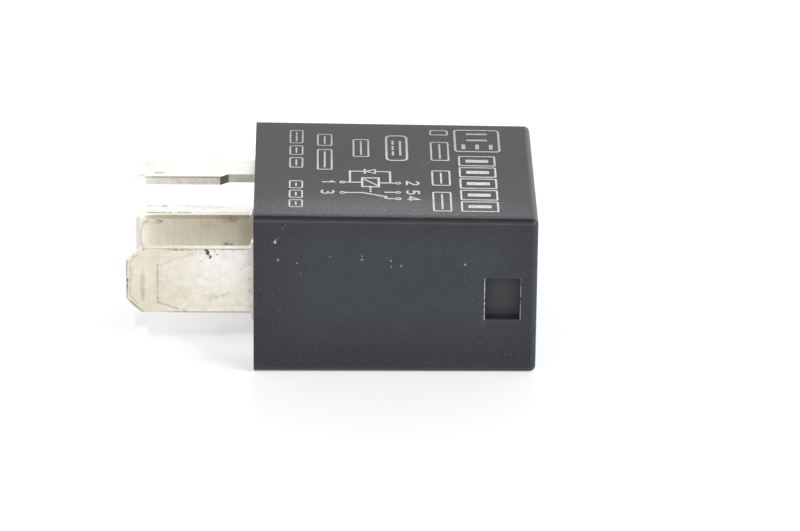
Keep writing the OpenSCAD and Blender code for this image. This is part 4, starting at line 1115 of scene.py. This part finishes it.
# ================================================================ contact spring
def make_leaf():
    """The contact spring, which on the relay is fixed to the yoke at one end and to the armature at the other: a copy
    of the CAD node, cut across into strips between them.
    """
    bm = bmesh.new()
    bm.from_mesh(nodes["contact_spring"].data)
    bmesh.ops.remove_doubles(bm, verts=bm.verts[:], dist=1e-7)
    start, end = Vector((0.0183, -0.0094, 0)), Vector((0.0220, -0.0060, 0))
    for k in range(1, 14):
        co = start.lerp(end, k / 14)
        bmesh.ops.bisect_plane(bm, geom=bm.verts[:] + bm.edges[:] + bm.faces[:], dist=1e-7, plane_co=co, plane_no=(end - start).normalized())
    o = new_object("contact_leaf", bm, SPRING, None, scale=1)
    if o.data.attributes.get("custom_normal"):
        o.data.attributes.remove(o.data.attributes["custom_normal"])
    shade(o, 32, weighted=False)
    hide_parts("contact_spring")
    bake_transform(o)


make_leaf()


# ================================================================ coil
def make_coil():
    """The winding: layers of fine wire seen as close turns, with its two ends led to the coil terminals' posts."""
    coil_y, outer, bore = -1.6, 4.9, 3.05
    x0, x1 = 6.85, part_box("winding")[1].x / MM
    turns = 27
    n = turns * 6
    bm = bmesh.new()
    profile = [(x0, bore)]
    for k in range(n + 1):
        f = k / n
        ripple = 0.075 * abs(math.cos(math.pi * turns * f))
        ends = 0.18 * (max(0, 1 - f * 22) + max(0, 1 - (1 - f) * 22))
        profile.append((x0 + (x1 - x0) * f, outer - ripple - ends))
    profile.append((x1, bore))
    seg = 40
    rings = [[bm.verts.new((x, coil_y + r * math.cos(2 * math.pi * k / seg), r * math.sin(2 * math.pi * k / seg))) for k in range(seg)] for x, r in profile]
    for a, b in zip(rings, rings[1:] + rings[:1]):
        for k in range(seg):
            bm.faces.new((a[k], a[(k + 1) % seg], b[(k + 1) % seg], b[k]))

    def wire(pts, r):
        loops = []
        for k, q in enumerate(pts):
            d = (pts[min(k + 1, len(pts) - 1)] - pts[max(k - 1, 0)]).normalized()
            u = d.cross(Vector((0, 0.3, 1))).normalized()
            v = d.cross(u)
            loops.append([tuple(q + (u * math.cos(math.pi * j / 4) + v * math.sin(math.pi * j / 4)) * r) for j in range(8)])
        loft(bm, loops)

    for s in (-1, 1):
        a = Vector((x0 + 1.2, coil_y + 1.2, s * (outer - 0.65)))
        b = Vector((6.2, 6.55 - 0.95, s * 4.65))
        mid = a.lerp(b, 0.5) + Vector((0.10, 0, 0))
        wire([a, a.lerp(mid, 0.5) + Vector((0.03, 0, 0)), mid, mid.lerp(b, 0.5) + Vector((0.03, 0, 0)), b], 0.115)
        # wraps round the post: a coil of wire on a rounded rectangle
        path, wraps = [], 4
        ring = rrect(2.1 - 0.23, 1.3 - 0.23, 0.22, 3)
        for w in range(wraps):
            for j, (y, z) in enumerate(ring):
                path.append(Vector((5.82 + 0.66 * (w + j / len(ring)) / wraps, 6.55 + y, s * 4.65 + z)))
        wire(path, 0.105)
    o = new_object("coil_winding", bm, WIRE, "housing")
    shade(o, 60, weighted=False)
    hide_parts("winding")


make_coil()
